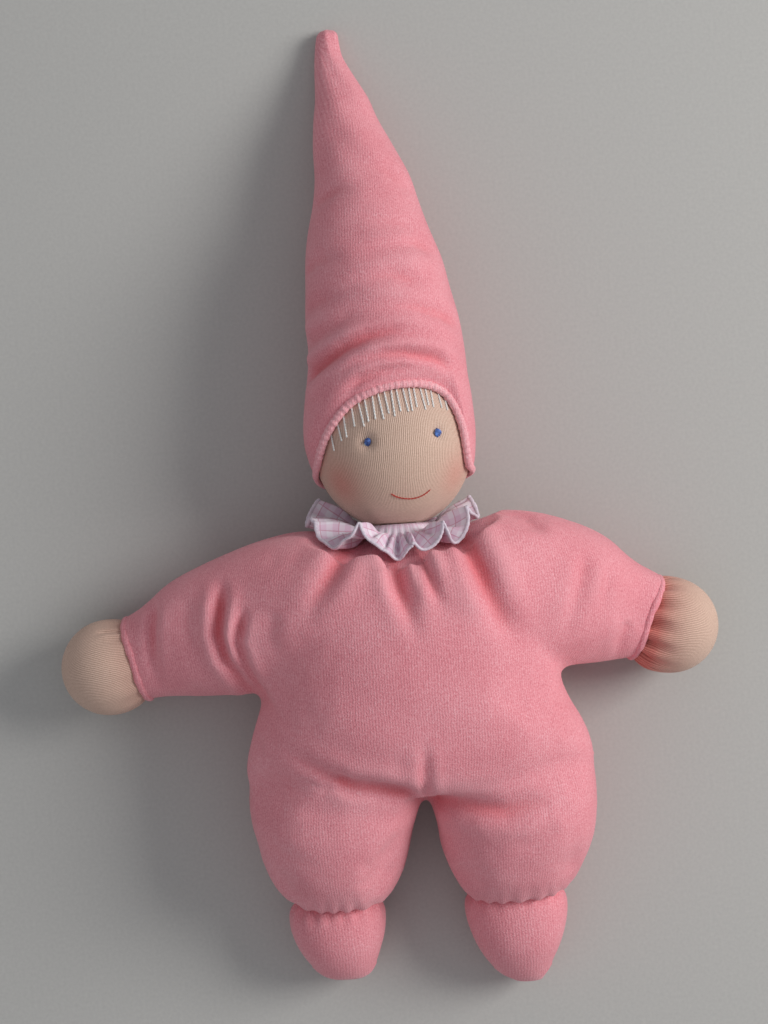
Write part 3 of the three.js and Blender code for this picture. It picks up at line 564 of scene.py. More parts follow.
def under_the_collar(co):
    """Points of the suit pressed down below the collar's lobes, which rest on it."""
    aside, ahead = co[:, 0] / MM - neck[0], co[:, 2] / MM - neck[2]
    around = np.hypot(aside, ahead)
    beside = (aside / (around + 1e-6)) ** 2
    low, high = collar_low(beside), collar_high(beside)
    turn = np.arctan2(aside, ahead)
    wave = np.minimum.reduce([lobe_wave(turn + off) for off in (-0.2, -0.1, 0, 0.1, 0.2)])
    bed = rad(low + (high - low) * 0.5 * wave)
    dish = collar_root - collar_press + (around - collar_start) * np.tan(bed) - 6 * step(-around, -14, -9)
    edge = collar_start + collar_reach(beside) * np.cos(rad(low))
    fade = step(edge + press_fade - around, 0, press_fade) * (co[:, 1] > -0.045)
    press = np.clip(co[:, 1] / MM - dish, 0, None) * fade
    return co - np.outer(press, [0, MM, 0])


co = under_the_collar(co)
# What would reach the table is flattened on it
co[:, 2] = np.maximum(co[:, 2], 0.1 * MM) + 0.4 * MM * np.exp(-co[:, 2] / (3 * MM)) * (co[:, 2] > 0.1 * MM)
soft = relaxed(co, edge_list(suit.data), 7)
near_neck = step(-np.linalg.norm(co / MM - neck, axis=1), -46, -34)[:, None]
co = under_the_collar(co + (soft - co) * near_neck)
# The lip of each sleeve's mouth: the points furthest out, in 48 directions round it
mouth_steps = 48
mouths = {}
for side, (joint, way) in wrists.items():
    along, aside = from_joint(co, joint, way)
    far = np.linalg.norm(aside, axis=1)
    close = np.flatnonzero((far > 9) & (far < 24) & (along > 2) & (along < 18))
    angle = np.arctan2(aside[close, 2], aside[close] @ np.cross([0, 0, 1], way)) % (2 * np.pi)
    bins = (angle / (2 * np.pi) * mouth_steps).astype(int)
    lip = [close[bins == k][along[close[bins == k]].argmax()] for k in range(mouth_steps)]
    mouths[side] = np.column_stack([along[lip], far[lip]])
set_points(suit, relaxed(co, edge_list(suit.data), 1))
# The ankle pockets: the end of each leg is pushed up off the top of its foot. The foot's middle and its
# half sizes in mm
feet = {
    "left": dict(middle=(-29.4, -174.5, 17.4), halves=(19.9, 14.6, 18.2)),
    "right": dict(middle=(44.8, -175.5, 17.6), halves=(21.2, 15.4, 18.4)),
}
co, _ = arrays(suit.data)
for foot in feet.values():
    p = (co / MM - foot["middle"]) / (np.array(foot["halves"]) + 0.3)
    top = np.sqrt(np.maximum(1 - p[:, 0] ** 2 - p[:, 2] ** 2, 0))
    inside = (top > 0) & (p[:, 1] < top) & (co[:, 1] < -0.150)
    co[inside, 1] += ((top - p[:, 1]) * foot["halves"][1] * MM)[inside]
set_points(suit, co)


def wale_map(mesh):
    """A UV map in metres whose u is the distance across the wales, which run along y, and whose v is the
    distance along them. u is the field whose slope along every edge is nearest to the edge's length
    across the wales, found by conjugate gradients. Front and back panels mirror at the seams."""
    co, normals = arrays(mesh)
    edges = edge_list(mesh)
    axis = np.array([0.0, 1, 0])
    across = unit(np.cross(axis, normals), 1e-9)
    across *= np.where(normals[:, 2] < 0, -1, 1)[:, None]
    run = co[edges[:, 1]] - co[edges[:, 0]]
    want = (run * (across[edges[:, 0]] + across[edges[:, 1]]) / 2).sum(1)
    count = len(co)
    degree = np.bincount(edges.ravel(), minlength=count)

    def laplace(x):
        return degree * x - spread(edges, x[:, None], count)[:, 0]

    b = np.bincount(edges[:, 1], want, count) - np.bincount(edges[:, 0], want, count)
    u = co[:, 0].copy()
    r = b - laplace(u)
    d, rr = r.copy(), r @ r
    for _ in range(160):
        ad = laplace(d)
        a = rr / (d @ ad + 1e-30)
        u, r = u + a * d, r - a * ad
        d, rr = r + (r @ r) / (rr + 1e-30) * d, r @ r
    set_uv(mesh, np.stack([u, co @ axis], -1)[corner_points(mesh)])


wale_pitch, tuft_pitch = 0.96 * MM, 1.2 * MM


def velour_of(name, deep, mid, light, crease_shade, ridge_highlight):
    """Knitted velour: faint wales a millimetre apart under a soft pile whose fibres shine in specks. The height of
    the folds, read from an attribute, paints shade and light into the colour: a deeper coral where the cloth is sunk,
    as painted shade in the creases, and a pale pink where it is raised, as painted highlight on the ridges."""
    made, node, put = material(
        name,
        Roughness=0.9,
        Specular_IOR_Level=0.2,
        Sheen_Weight=0.4,
        Sheen_Roughness=0.4,
        Sheen_Tint=srgb(255, 220, 224),
    )
    axes = node("SeparateXYZ", {0: node("UVMap", uv_map="cloth")}).node.outputs
    stray = noise(node, 240.0, 1.0)
    wale = waves(node, maths(node, "MULTIPLY_ADD", stray, 0.9 * MM, axes[0]), wale_pitch)
    tuft = waves(node, maths(node, "MULTIPLY_ADD", stray, 3.0 * MM, axes[1]), tuft_pitch)
    tufts = maths(node, "MULTIPLY_ADD", tuft, 0.45, 0.75)
    pile = maths(node, "SUBTRACT", noise(node, 1500.0, 2.0, Roughness=0.7), 0.5)
    brushed = maths(node, "SUBTRACT", noise(node, 55.0, 3.0), 0.5)
    ribs = maths(node, "MULTIPLY", maths(node, "MULTIPLY", wale, tufts), 0.10)
    tone = maths(node, "MULTIPLY_ADD", pile, 1.25, maths(node, "ADD", ribs, 0.5))
    tone = maths(node, "MULTIPLY_ADD", brushed, 0.3, tone)
    ramp = node("ValToRGB", {0: tone}).node
    ramp.color_ramp.elements[0].position, ramp.color_ramp.elements[0].color = 0.05, deep
    ramp.color_ramp.elements[1].position, ramp.color_ramp.elements[1].color = 0.95, light
    ramp.color_ramp.elements.new(0.5).color = mid
    # Painted shade and highlight: the folds' height darkens the creases to coral and lightens the ridges to pale
    # pink.
    fold_shade_height = node("Attribute", out=2, attribute_name="fold_shade_height")
    low = node("MapRange", {"Value": fold_shade_height, "From Min": -0.5, "From Max": -3.4, "To Max": 0.62})
    high = node("MapRange", {"Value": fold_shade_height, "From Min": 0.3, "From Max": 1.8, "To Max": 0.32})
    put("Base Color", mixed(node, high, mixed(node, low, ramp.outputs[0], crease_shade), ridge_highlight))
    height = maths(node, "MULTIPLY_ADD", pile, 1.4, maths(node, "MULTIPLY", ribs, 2.0))
    put("Normal", node("Bump", {"Strength": 0.5, "Distance": 0.35 * MM, "Height": height}))
    return made


# The last two colours are painted light: a deeper coral for shade in the creases and a pale pink for highlight on the
# ridges.
pink_velour = velour_of(
    "pink_velour",
    srgb(206, 112, 124),
    srgb(234, 150, 160),
    srgb(252, 190, 198),
    srgb(222, 98, 104),
    srgb(240, 178, 186),
)

# Wool: loose white fleece, packed inside every part of the doll.
fleece, node, put = material("wool_fleece", Roughness=1.0)
curls = noise(node, 420.0, 4.0)
put("Base Color", mixed(node, curls, srgb(222, 214, 196), srgb(246, 242, 232)))
put("Normal", node("Bump", {"Strength": 0.7, "Distance": 0.6 * MM, "Height": curls}))

shoulder_cuts = {"left": -0.0551, "right": 0.0689}
hip_cut = -0.1146
crotch_x = 0.0091


def parted(obj):
    """The suit's mesh cut along the shoulder and hip creases, in triangles, with the limb of each."""
    bm = bmesh.new()
    bm.from_mesh(obj.data)
    for co, no, keep in (
        ((shoulder_cuts["left"], 0, 0), (1, 0, 0), lambda c: c.y > -0.085 and c.x < -0.02),
        ((shoulder_cuts["right"], 0, 0), (1, 0, 0), lambda c: c.y > -0.085 and c.x > 0.02),
        ((0, hip_cut, 0), (0, 1, 0), lambda c: c.y < -0.09),
    ):
        faces = [f for f in bm.faces if keep(f.calc_center_median())]
        geometry = set(faces) | {e for f in faces for e in f.edges} | {v for f in faces for v in f.verts}
        bmesh.ops.bisect_plane(bm, geom=list(geometry), dist=1e-6, plane_co=co, plane_no=no)
    bmesh.ops.triangulate(bm, faces=bm.faces)
    mesh = bpy.data.meshes.new("suit_parted")
    bm.to_mesh(mesh)
    bm.free()
    return mesh


def limb_of(co):
    """For each place of the suit: 0 the trunk, 1 and 2 the left and right sleeve, 3 and 4 the legs."""
    x, y = co[:, 0], co[:, 1]
    arm = y > -0.085
    return np.select(
        [
            arm & (x < shoulder_cuts["left"]),
            arm & (x > shoulder_cuts["right"]),
            (y < hip_cut) & (x < crotch_x),
            (y < hip_cut) & (x >= crotch_x),
        ],
        [1, 2, 3, 4],
        0,
    )


def shell(name, co, normals, fold_shade_height, triangles, uv, wall, *finishes):
    """A closed piece of cloth: the outer triangles, the same ones a wall further in and turned round, and a strip
    that joins them along every open edge. Its normals are those of the mesh it was cut from. The fold height says how
    high the cloth is raised or sunk at each point, in mm; the velour paints it as shade in the creases and as
    highlight on the ridges."""
    used, triangles = np.unique(triangles, return_inverse=True)
    triangles = triangles.reshape(-1, 3)
    outer, n = co[used], normals[used]
    sides = np.vstack([triangles[:, [0, 1]], triangles[:, [1, 2]], triangles[:, [2, 0]]])
    key = np.sort(sides, 1) @ [len(outer), 1]
    _, first, times = np.unique(key, return_index=True, return_counts=True)
    rim = sides[first[times == 1]]
    shift = len(outer)
    inner = triangles[:, ::-1] + shift
    a, b = rim.T
    strip = np.vstack([np.stack([b, a, a + shift], -1), np.stack([b, a + shift, b + shift], -1)])
    faces = np.vstack([triangles, inner, strip])
    made = add_piece(name, np.vstack([outer, outer - n * wall]), faces, *finishes)
    set_uv(made.data, np.tile(uv[used], (2, 1))[faces.ravel()])
    set_value(made.data, "fold_shade_height", np.tile(fold_shade_height[used], 2))
    made.data.normals_split_custom_set_from_vertices(np.vstack([n, -n]))
    return made


def uv_per_vertex(mesh):
    made = np.zeros((len(mesh.vertices), 2))
    made[corner_points(mesh)] = read(mesh.uv_layers[0].data, "uv", 2)
    return made


def triangles_of(mesh):
    return read(mesh.polygons, "vertices", 3, int)


velour_wall = 1.2 * MM
wool_inset = 1.9 * MM
suit_mesh = parted(suit)
wale_map(suit_mesh)
co, normals = arrays(suit_mesh)
triangles = triangles_of(suit_mesh)
middles = co[triangles].mean(1)
limb = limb_of(middles)
neck_hole = 10.8 * MM
aside = np.hypot(middles[:, 0] - neck[0] * MM, middles[:, 2] - neck[2] * MM)
at_neck = (aside < neck_hole) & (middles[:, 1] > -0.03)
uv = uv_per_vertex(suit_mesh)
# The folds' height at each point, which the velour paints as shade in the creases and as highlight on the ridges
fold_shade_height = furrow(co, normals)

coarse = applied(suit, "DECIMATE", ratio=0.22)
coarse_mesh = parted(coarse)
wool_co, wool_normals = arrays(coarse_mesh)
wool_triangles = triangles_of(coarse_mesh)
wool_limb = limb_of(wool_co[wool_triangles].mean(1))
wool_co = wool_co - wool_normals * wool_inset
# At the wrists the wool draws back and thins, and at the neck it has a bowl for the neck roll
for joint, way in wrists.values():
    along, aside = from_joint(wool_co, joint, way)
    back = 3.5 * step(along, -4, 6)[:, None] * way
    thin = 0.13 * step(along, -8, 4)[:, None] * aside * ((along > -8) & (along < 30))[:, None]
    wool_co -= (back + thin) * MM
bowl_radius, bowl_y = 11, -22.6
aside = np.hypot(wool_co[:, 0] - neck[0] * MM, wool_co[:, 2] - neck[2] * MM) / MM
bowl = (aside < bowl_radius) & (wool_co[:, 1] > -0.03)
wool_co[bowl, 1] = (bowl_y - np.sqrt(bowl_radius**2 - aside[bowl] ** 2)) * MM


def packed_wool(name, triangles, *finishes):
    """The wool of one limb: the suit's form set in by the cloth, closed flat at each cut."""
    used, triangles = np.unique(triangles, return_inverse=True)
    made = add_piece(name, wool_co[used], triangles.reshape(-1, 3), *finishes)
    bm = bmesh.new()
    bm.from_mesh(made.data)
    bmesh.ops.holes_fill(bm, edges=[e for e in bm.edges if e.is_boundary], sides=0)
    bmesh.ops.triangulate(bm, faces=[f for f in bm.faces if len(f.verts) > 4])
    bm.to_mesh(made.data)
    bm.free()
    return made


# Names of the cloth, the wool, the body and the two nodes that they replace, and where each limb's blend
# starts and ends
suit_pieces = [("suit_trunk", "trunk_wool", "torso", "suit_body", "body_filling", None)]
for side, end in (("left", -0.079), ("right", 0.090)):
    names = [side + rest for rest in ("_sleeve_velour", "_arm_wool", "_arm", "_sleeve", "_arm_filling")]
    suit_pieces.append((*names, ((shoulder_cuts[side], 0, 0), (end, 0, 0))))
for side in ("left", "right"):
    names = [side + rest for rest in ("_leg_velour", "_leg_wool", "_leg", "_trouser_leg", "_leg_filling")]
    suit_pieces.append((*names, ((0, hip_cut, 0), (0, -0.141, 0))))
for number, (cloth_name, wool_name, body, cloth_node, wool_node, span) in enumerate(suit_pieces):
    mask = (limb == number) & ~at_neck
    cloth = shell(cloth_name, co, normals, fold_shade_height, triangles[mask], uv, velour_wall, pink_velour)
    wool = packed_wool(wool_name, wool_triangles[wool_limb == number], fleece)
    for piece, cad in ((cloth, cloth_node), (wool, wool_node)):
        if span:
            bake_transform(piece)
        else:
            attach(piece, body)
        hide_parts(cad)
bpy.data.objects.remove(suit)

# Feet: two small velour bags, each stuffed and tied off at the ankle, so that its cloth is gathered
# there. The toe end is a short straight seam.
foot_rows = {
    "left": [
        [-28.8, -157.5, 18, 10, 10, -90],
        [-29.2, -161, 17.8, 16.5, 15.5, -90],
        [-29.4, -165, 17.6, 19.4, 17.6, -90],
        [-29.5, -170, 17.5, 19.9, 18, -90],
        [-29.3, -176, 17, 18.8, 17.5, -90],
        [-29, -182, 15.8, 16.6, 16.2, -90],
        [-28.2, -188, 14, 13.6, 13.6, -90],
        [-27.4, -192.5, 12, 10.6, 10.2, -90],
        [-27, -195, 10.5, 7.6, 6, -90],
    ],
    "right": [
        [44.4, -157.5, 18, 10, 10, -90],
        [44.5, -161, 17.8, 17.6, 15.5, -90],
        [44.6, -165, 17.8, 20.8, 17.8, -90],
        [44.7, -171, 17.7, 21.1, 18.2, -90],
        [44.8, -178, 17.2, 19.6, 17.7, -90],
        [45, -185, 16, 17.1, 16.3, -90],
        [45.4, -191.5, 14, 13.8, 13.6, -90],
        [46.6, -197.5, 11.6, 9.9, 9.8, -90],
        [48.2, -201.2, 10, 6, 5.4, -90],
    ],
}


def foot_skin(side, count, sides, inset=0.0):
    """A foot's form with its gathers below the ankle, set in by a distance in mm."""
    co, faces = stuffed_tube(foot_rows[side], count, sides, 2.15)
    p = co / MM
    middle = np.array([feet[side]["middle"][0], 0, feet[side]["middle"][2]])
    out = (p - middle) * [1, 0, 1]
    turn = np.arctan2(out[:, 0], out[:, 2])
    below = np.clip(-161 - p[:, 1], 0, None)
    deep = 1.5 if side == "left" else 0.6
    pleat = np.cos(17 * turn + 0.9 * np.sin(3 * turn))
    gathers = deep * (powered(pleat, 0.7) - 0.25) * bell(below, 5.2) * (0.55 + 0.45 * np.cos(turn + 0.5))
    toe = p[:, 1] < foot_rows[side][-1][1] + 7
    ridge = 0.5 * toe * bell(out[:, 2], 1.6)
    reach = np.linalg.norm(out, axis=1)[:, None]
    p = p + out / (reach + 1e-6) * np.minimum(gathers + ridge - inset, 2)[:, None]
    p[:, 1] += inset * 1.5 * np.sign(-176 - p[:, 1])
    p[:, 2] = np.maximum(p[:, 2], 0.1 + inset)
    return p * MM, faces


for side in ("left", "right"):
    cloth = add_piece(side + "_foot_velour", *foot_skin(side, 52, 72), pink_velour)
    wale_map(cloth.data)
    wool = add_piece(side + "_foot_wool", *foot_skin(side, 20, 28, 1.6), fleece)
    for piece, cad in ((cloth, side + "_foot"), (wool, side + "_foot_filling")):
        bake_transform(piece)
        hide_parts(cad)

# Skin: cotton tricot, a fine knit whose columns run down the face and along the hands. The cheeks are coloured with a
# little wax crayon. At the wrists a rosy tint is painted into the cloth, partly a little dye and partly painted shade
# and pink light reflected from the sleeve.
tricot, node, put = material("skin_tricot", Roughness=0.85, Specular_IOR_Level=0.2, Sheen_Weight=0.08)
axes = node("SeparateXYZ", {0: node("UVMap", uv_map="cloth")}).node.outputs
column, course = 0.78 * MM, 0.62 * MM
u = maths(node, "MULTIPLY_ADD", noise(node, 130.0, 2.0), 1.1 * MM, axes[0])
leg = maths(node, "ABSOLUTE", maths(node, "SUBTRACT", maths(node, "FRACT", maths(node, "DIVIDE", u, column)), 0.5))
slant = maths(node, "ADD", maths(node, "DIVIDE", axes[1], course), maths(node, "MULTIPLY", leg, 1.6))
loops = waves(node, slant, 1)
rib = maths(node, "COSINE", maths(node, "MULTIPLY", leg, 2 * math.pi))
knit = maths(node, "MULTIPLY_ADD", rib, 0.42, maths(node, "MULTIPLY_ADD", loops, 0.16, 0.5))
fuzz = maths(node, "SUBTRACT", noise(node, 1700.0, 2.0), 0.5)
knit = maths(node, "MULTIPLY_ADD", fuzz, 0.7, knit)
skin_tone = mixed(node, knit, srgb(180, 145, 126), srgb(236, 207, 190))
# The rosy mix: crayon on the cheeks, and at the wrists a little dye with painted shade and painted reflection of the
# pink sleeve
rouge_and_shade_mix = node("Attribute", out=2, attribute_name="rouge_and_wrist_shade")
rosy = mixed(node, knit, srgb(180, 90, 82), srgb(230, 147, 136))
put("Base Color", mixed(node, rouge_and_shade_mix, skin_tone, rosy))
put("Normal", node("Bump", {"Strength": 0.45, "Distance": 0.25 * MM, "Height": knit}))


def turned_skin(profile, across, over, way, origin, sides):
    """A form turned about a line: profile rows of (distance along, radius), with three directions of its
    own. Returns the points, faces, the angle round and the distance along for each point."""
    angle = circle(sides)
    along, radius = profile[:, 0], profile[:, 1]
    ring = np.cos(angle)[:, None] * across + np.sin(angle)[:, None] * over
    co = origin + along[:, None, None] * way + radius[:, None, None] * ring
    ends = origin + profile[[0, -1], :1] * way
    co = np.vstack([co.reshape(-1, 3), ends])
    turn = np.append(np.tile(angle, len(profile)), [0, 0])
    far = np.append(np.repeat(along, sides), profile[[0, -1], 0])
    return co, skin_faces(len(profile), sides), turn, far


def column_map(mesh, turn, length, radius):
    """A UV map in metres: u runs round the form as many columns as its girth holds, and v along it. The
    corners of the last column are carried past the seam."""
    corners, starts = corner_points(mesh), read(mesh.polygons, "loop_start", 1, int)[:, 0]
    sizes = np.diff(np.append(starts, len(corners)))
    t = turn[corners].copy()
    high = np.repeat(np.maximum.reduceat(t, starts), sizes)
    t[(high - t) > np.pi] += 2 * np.pi
    girth = round(2 * np.pi * radius * MM / column) * column
    set_uv(mesh, np.stack([t / (2 * np.pi) * girth, length[corners] * MM], -1))


# Head: a tight wool ball under tricot. A thread round it at eye height, under the skin, draws in a
# shallow line, and the eye stitches pull small dimples.
head_middle = np.array([6.9, 24.4, 36.0])
head_halves = np.array([32.0, 33.5, 32.5])
eye_places = np.array([[-3.5, 25.5], [25.0, 27.4]])
eye_dimples = [2.3, 1.3]
cheeks = np.array([[-14.5, 10.2, 55.5], [30.0, 11.5, 52.5]])
head_socket = 10.7


def out_of_head(points, halves=head_halves):
    """The directions off the head's ellipsoid at some points."""
    return unit((points - head_middle) / halves**2)


def front_of_head(xy, lift=0.0):
    """The place on the front of the head above a point of the plane, in mm, lifted off the skin."""
    xy = np.atleast_2d(xy)
    inside = 1 - (((xy - head_middle[:2]) / head_halves[:2]) ** 2).sum(1)
    p = np.column_stack([xy, head_middle[2] + head_halves[2] * np.sqrt(np.maximum(inside, 0))])
    return p + lift * out_of_head(p)


def head_skin(rings, sides, inset=0.0):
    """The head's form, set in by a distance in mm, with its eye line, its dimples and a socket below for
    the neck roll."""
    fall = np.linspace(np.pi, 0, rings + 2)[1:-1]
    halves = head_halves - inset
    profile = np.column_stack([np.cos(fall) * halves[1], np.sin(fall)])
    x, z = np.array([halves[0], 0, 0]), np.array([0, 0, halves[2]])
    co, faces, turn, far = turned_skin(profile, -z, x, np.array([0.0, 1, 0]), head_middle, sides)
    co[-2:, 1] = head_middle[1] + np.array([-halves[1], halves[1]])
    out = out_of_head(co, halves)
    front = step(co[:, 2], 36, 60)
    dent = 0.45 * front * bell(co[:, 1] - 26.5 - 0.07 * (co[:, 0] - 6.9), 4.2)
    for place, deep in zip(front_of_head(eye_places), eye_dimples):
        dent += deep * bell(np.linalg.norm(co - place, axis=1), 2.9)
    co = co - out * dent[:, None]
    aside = np.hypot(co[:, 0] - neck[0], co[:, 2] - neck[2])
    socket = (aside < head_socket) & (co[:, 1] < 5)
    co[socket, 1] = neck[1] + np.sqrt(head_socket**2 - aside[socket] ** 2)
    return co, faces, turn, far


co, faces, turn, far = head_skin(120, 180)
head = add_piece("head_tricot", co * MM, faces, tricot)
column_map(head.data, turn, np.arcsin(np.clip(far / head_halves[1], -1, 1)) * head_halves[1], 32)
rouge_and_wrist_shade = sum(
    strength * bell(np.linalg.norm((co - place) * [1, 0.8, 0.8], axis=1), size)
    for place, strength, size in zip(cheeks, (0.62, 0.4), (8.5, 7.0))
)
set_value(head.data, "rouge_and_wrist_shade", np.clip(rouge_and_wrist_shade, 0, 1))
head_wool_co, head_wool_faces, _, _ = head_skin(28, 40, 1.7)
head_wool = add_piece("head_wool", head_wool_co * MM, head_wool_faces, fleece)
for piece, cad, name in ((head, "head_skin", "tricot"), (head_wool, "head_filling", "wool")):
    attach(piece, "head")
    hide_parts(cad)

# Hands: a tricot ball tied off at the wrist, with the cloth gathered into the sleeve.
# The number of gathers and their depth
hand_folds = {"left": (13, 0.3), "right": (14, 1.7)}
# The middle of the hand's ball, out from the joint, and how much longer than round it is
hand_middle, hand_stretch = 19.1, 0.2


def hand_axes(side):
    """A wrist's joint and the hand's own directions: across, over and the way out of the sleeve."""
    joint, way = wrists[side]
    way, over = unit(way), np.array([0.0, 0, 1])
    return joint, np.cross(over, way), over, way


def hand_skin(side, rings, sides, inset=0.0):
    """A hand's form, set in by a distance in mm, from its gathered tail in the sleeve to its far end."""
    joint, across, over, way = hand_axes(side)
    fall = np.linspace(0, 1, rings)
    angle = rad(180) * (1 - 0.86 * fall)
    ball = hand_radius - inset
    profile = np.column_stack([hand_middle - (ball + hand_stretch) * np.cos(angle), ball * np.sin(angle)])
    profile = profile[profile[:, 1] > 0.25]
    tail = np.array([[0.7, 7.8], [-0.6, 7.9], [-3.5, 8.4], [-6.3, 6.4], [-8.0, 3.2]])
    tail[:, 1] -= inset
    profile = np.vstack([smooth_rows(tail[::-1], 14), profile])
    profile = profile[np.argsort(profile[:, 0], kind="stable")]
    co, faces, turn, far = turned_skin(profile, across, over, way, joint, sides)
    count, deep = hand_folds[side]
    out = unit(co - (joint + ((co - joint) @ way)[:, None] * way), 1e-6)
    pleat = np.cos(count * turn + 0.9 * np.sin(2 * turn + 0.5))
    gathers = deep * (powered(pleat, 0.6) - 0.45) * bell(far - 9.5, 7) * (far > 1)
    if side == "left":
        wrinkle = step(far, 7, 11) * step(-far, -21, -16)
        gathers -= wrinkle * (1.1 * bell(turn - 2.46, 0.06) - 0.5 * bell(turn - 2.34, 0.06))
    co = co + out * gathers[:, None]
    co[:, 2] = np.maximum(co[:, 2], 0.1 + inset)
    return co, faces, turn, far


for side, strength in (("left", 0.12), ("right", 0.95)):
    co, faces, turn, far = hand_skin(side, 90, 180)
    skin = add_piece(side + "_hand_tricot", co * MM, faces, tricot)
    column_map(skin.data, turn, far, hand_radius)
    # The rosy tint near the wrist: a little dye with painted shade and painted pink reflection of the sleeve, strong
    # on the right hand and faint on the left, fading out from the sleeve
    set_value(skin.data, "rouge_and_wrist_shade", np.clip(strength * np.exp(-np.clip(far - 12, 0, None) / 6), 0, 1))
    co, faces, _, _ = hand_skin(side, 24, 32, 1.5)
    wool = add_piece(side + "_hand_wool", co * MM, faces, fleece)
    joint, way = wrists[side]
    for piece, cad, name in ((skin, side + "_hand_skin", "tricot"), (wool, side + "_hand_filling", "wool")):
        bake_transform(piece)
        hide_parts(cad)

# Sleeve hems: the edge of each sleeve is turned in as a soft roll, and the hand sits in it. The roll
# follows the sleeve's lip, smoothed to its six slowest waves.
hem_radius, hem_sides = 1.75, 14


def rolled(middle, out, over, sides, size, flat=1.0, wide=1.0):
    """Rings of points round a line in mm: flat times their size towards out, wide times it towards over."""
    ring = circle(sides)[:, None]
    return middle[:, None] + size * (np.cos(ring) * out[:, None] * flat + np.sin(ring) * over[:, None] * wide)


def add_roll(name, co, finish):
    """A roll that closes on itself, from its rings of points in mm."""
    return add_piece(name, co.reshape(-1, 3) * MM, [f[::-1] for f in skin_faces(*co.shape[:2], loop=True)], finish)


for side in ("left", "right"):
    joint, across, over, way = hand_axes(side)
    round_at = circle(120)
    spoke = np.cos(round_at)[:, None] * across + np.sin(round_at)[:, None] * over
    lip_waves = np.fft.rfft(mouths[side], axis=0)
    lip_waves[7:] = 0
    lip = np.fft.irfft(lip_waves, mouth_steps, axis=0)
    lip_at = (np.arange(mouth_steps + 1) + 0.5) * np.pi / (mouth_steps / 2)
    lip = np.column_stack([np.interp(round_at, lip_at, np.append(c, c[0]), period=2 * np.pi) for c in lip.T])
    roll = hem_radius + 0.12 * np.sin(7 * round_at) + 0.1 * np.sin(17 * round_at + 1)
    middle = joint + (lip[:, :1] - 0.7) * way + (lip[:, 1:] - 0.5) * spoke
    co = rolled(middle, spoke, np.broadcast_to(way, spoke.shape), hem_sides, roll[:, None, None])
    co[..., 2] = np.maximum(co[..., 2], 0.15)
    hem = add_roll(side + "_sleeve_hem", co, pink_velour)
    wale_map(hem.data)
    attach(hem, side + "_arm")


# Threads: the eyes, mouth and hair are embroidery cotton of two plies, and the bindings under the
# skin are strong linen. The bindings and the neck roll are the frame's own pieces.
def thread_of(name, first, second, roughness=0.6):
    """Spun fibres between two colours. The strand attribute makes a whole strand lighter or darker; on the eyes it
    paints highlights on some strands.
    """
    made, node, put = material(name, Roughness=roughness, Sheen_Weight=0.15)
    grain = node("MapRange", {"Value": noise(node, 1100.0, 3.0), "From Min": 0.3, "From Max": 0.7})
    strand_highlight = node("Attribute", out=2, attribute_name="strand_highlight")
    put("Base Color", mixed(node, maths(node, "MULTIPLY_ADD", grain, 0.5, strand_highlight), first, second))
    put("Normal", node("Bump", {"Strength": 0.4, "Distance": 0.1 * MM, "Height": grain}))
    return made


white_cotton = thread_of("white_cotton", srgb(222, 220, 218), srgb(250, 249, 246))
blue_cotton = thread_of("blue_cotton", srgb(24, 42, 112), srgb(98, 142, 222), 0.45)
red_cotton = thread_of("red_cotton", srgb(158, 34, 26), srgb(228, 86, 60), 0.5)
linen = thread_of("linen_thread", srgb(214, 206, 190), srgb(238, 232, 220))
neck_tricot = thread_of("neck_tricot", srgb(190, 156, 136), srgb(232, 202, 184), 0.85)
bindings = ["collar_thread", "eye_line_thread", "chin_thread"]
bindings += [side + tie for side in ("left", "right") for tie in ("_wrist_tie", "_ankle_tie")]
for name in (*bindings, "neck_roll"):
    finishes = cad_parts[name].data.materials
    finishes.clear()
    finishes.append(neck_tricot if name == "neck_roll" else linen)


def squared(along, out):
    """Two unit directions at each point of a line: out, made square to the line, and one square to both."""
    along = unit(along)
    out = unit(out - (out * along).sum(1)[:, None] * along)
    return out, np.cross(along, out)


def plied(line, out, radius, turns, steps=None, sides=7, squash=0.8):
    """Two strands twisted round each other along a line of points in mm. out is the direction off the
    cloth at each point. Each strand's middle circles the line, and both ends taper into the cloth."""
    count = steps or max(8, int(turns * 7))
    rows = smooth_rows(np.column_stack([line, out]), count)
    line = rows[:, :3]
    out, over = squared(np.gradient(line, axis=0), rows[:, 3:])
    t = np.linspace(0, 1, count)
    taper = np.clip(np.minimum(t, 1 - t) * 9 + 0.35, 0, 1)
    strands = []
    for start in (0.0, np.pi):
        a = (2 * np.pi * turns * t + start)[:, None]
        middle = line + radius * 0.5 * taper[:, None] * (np.cos(a) * out * squash + np.sin(a) * over)
        co = rolled(middle, out, over, sides, (radius * 0.62 * taper)[:, None, None], squash)
        points = np.vstack([co.reshape(-1, 3), middle[[0, -1]]])
        strands.append((points, [face[::-1] for face in skin_faces(count, sides)]))
    return joined(strands)


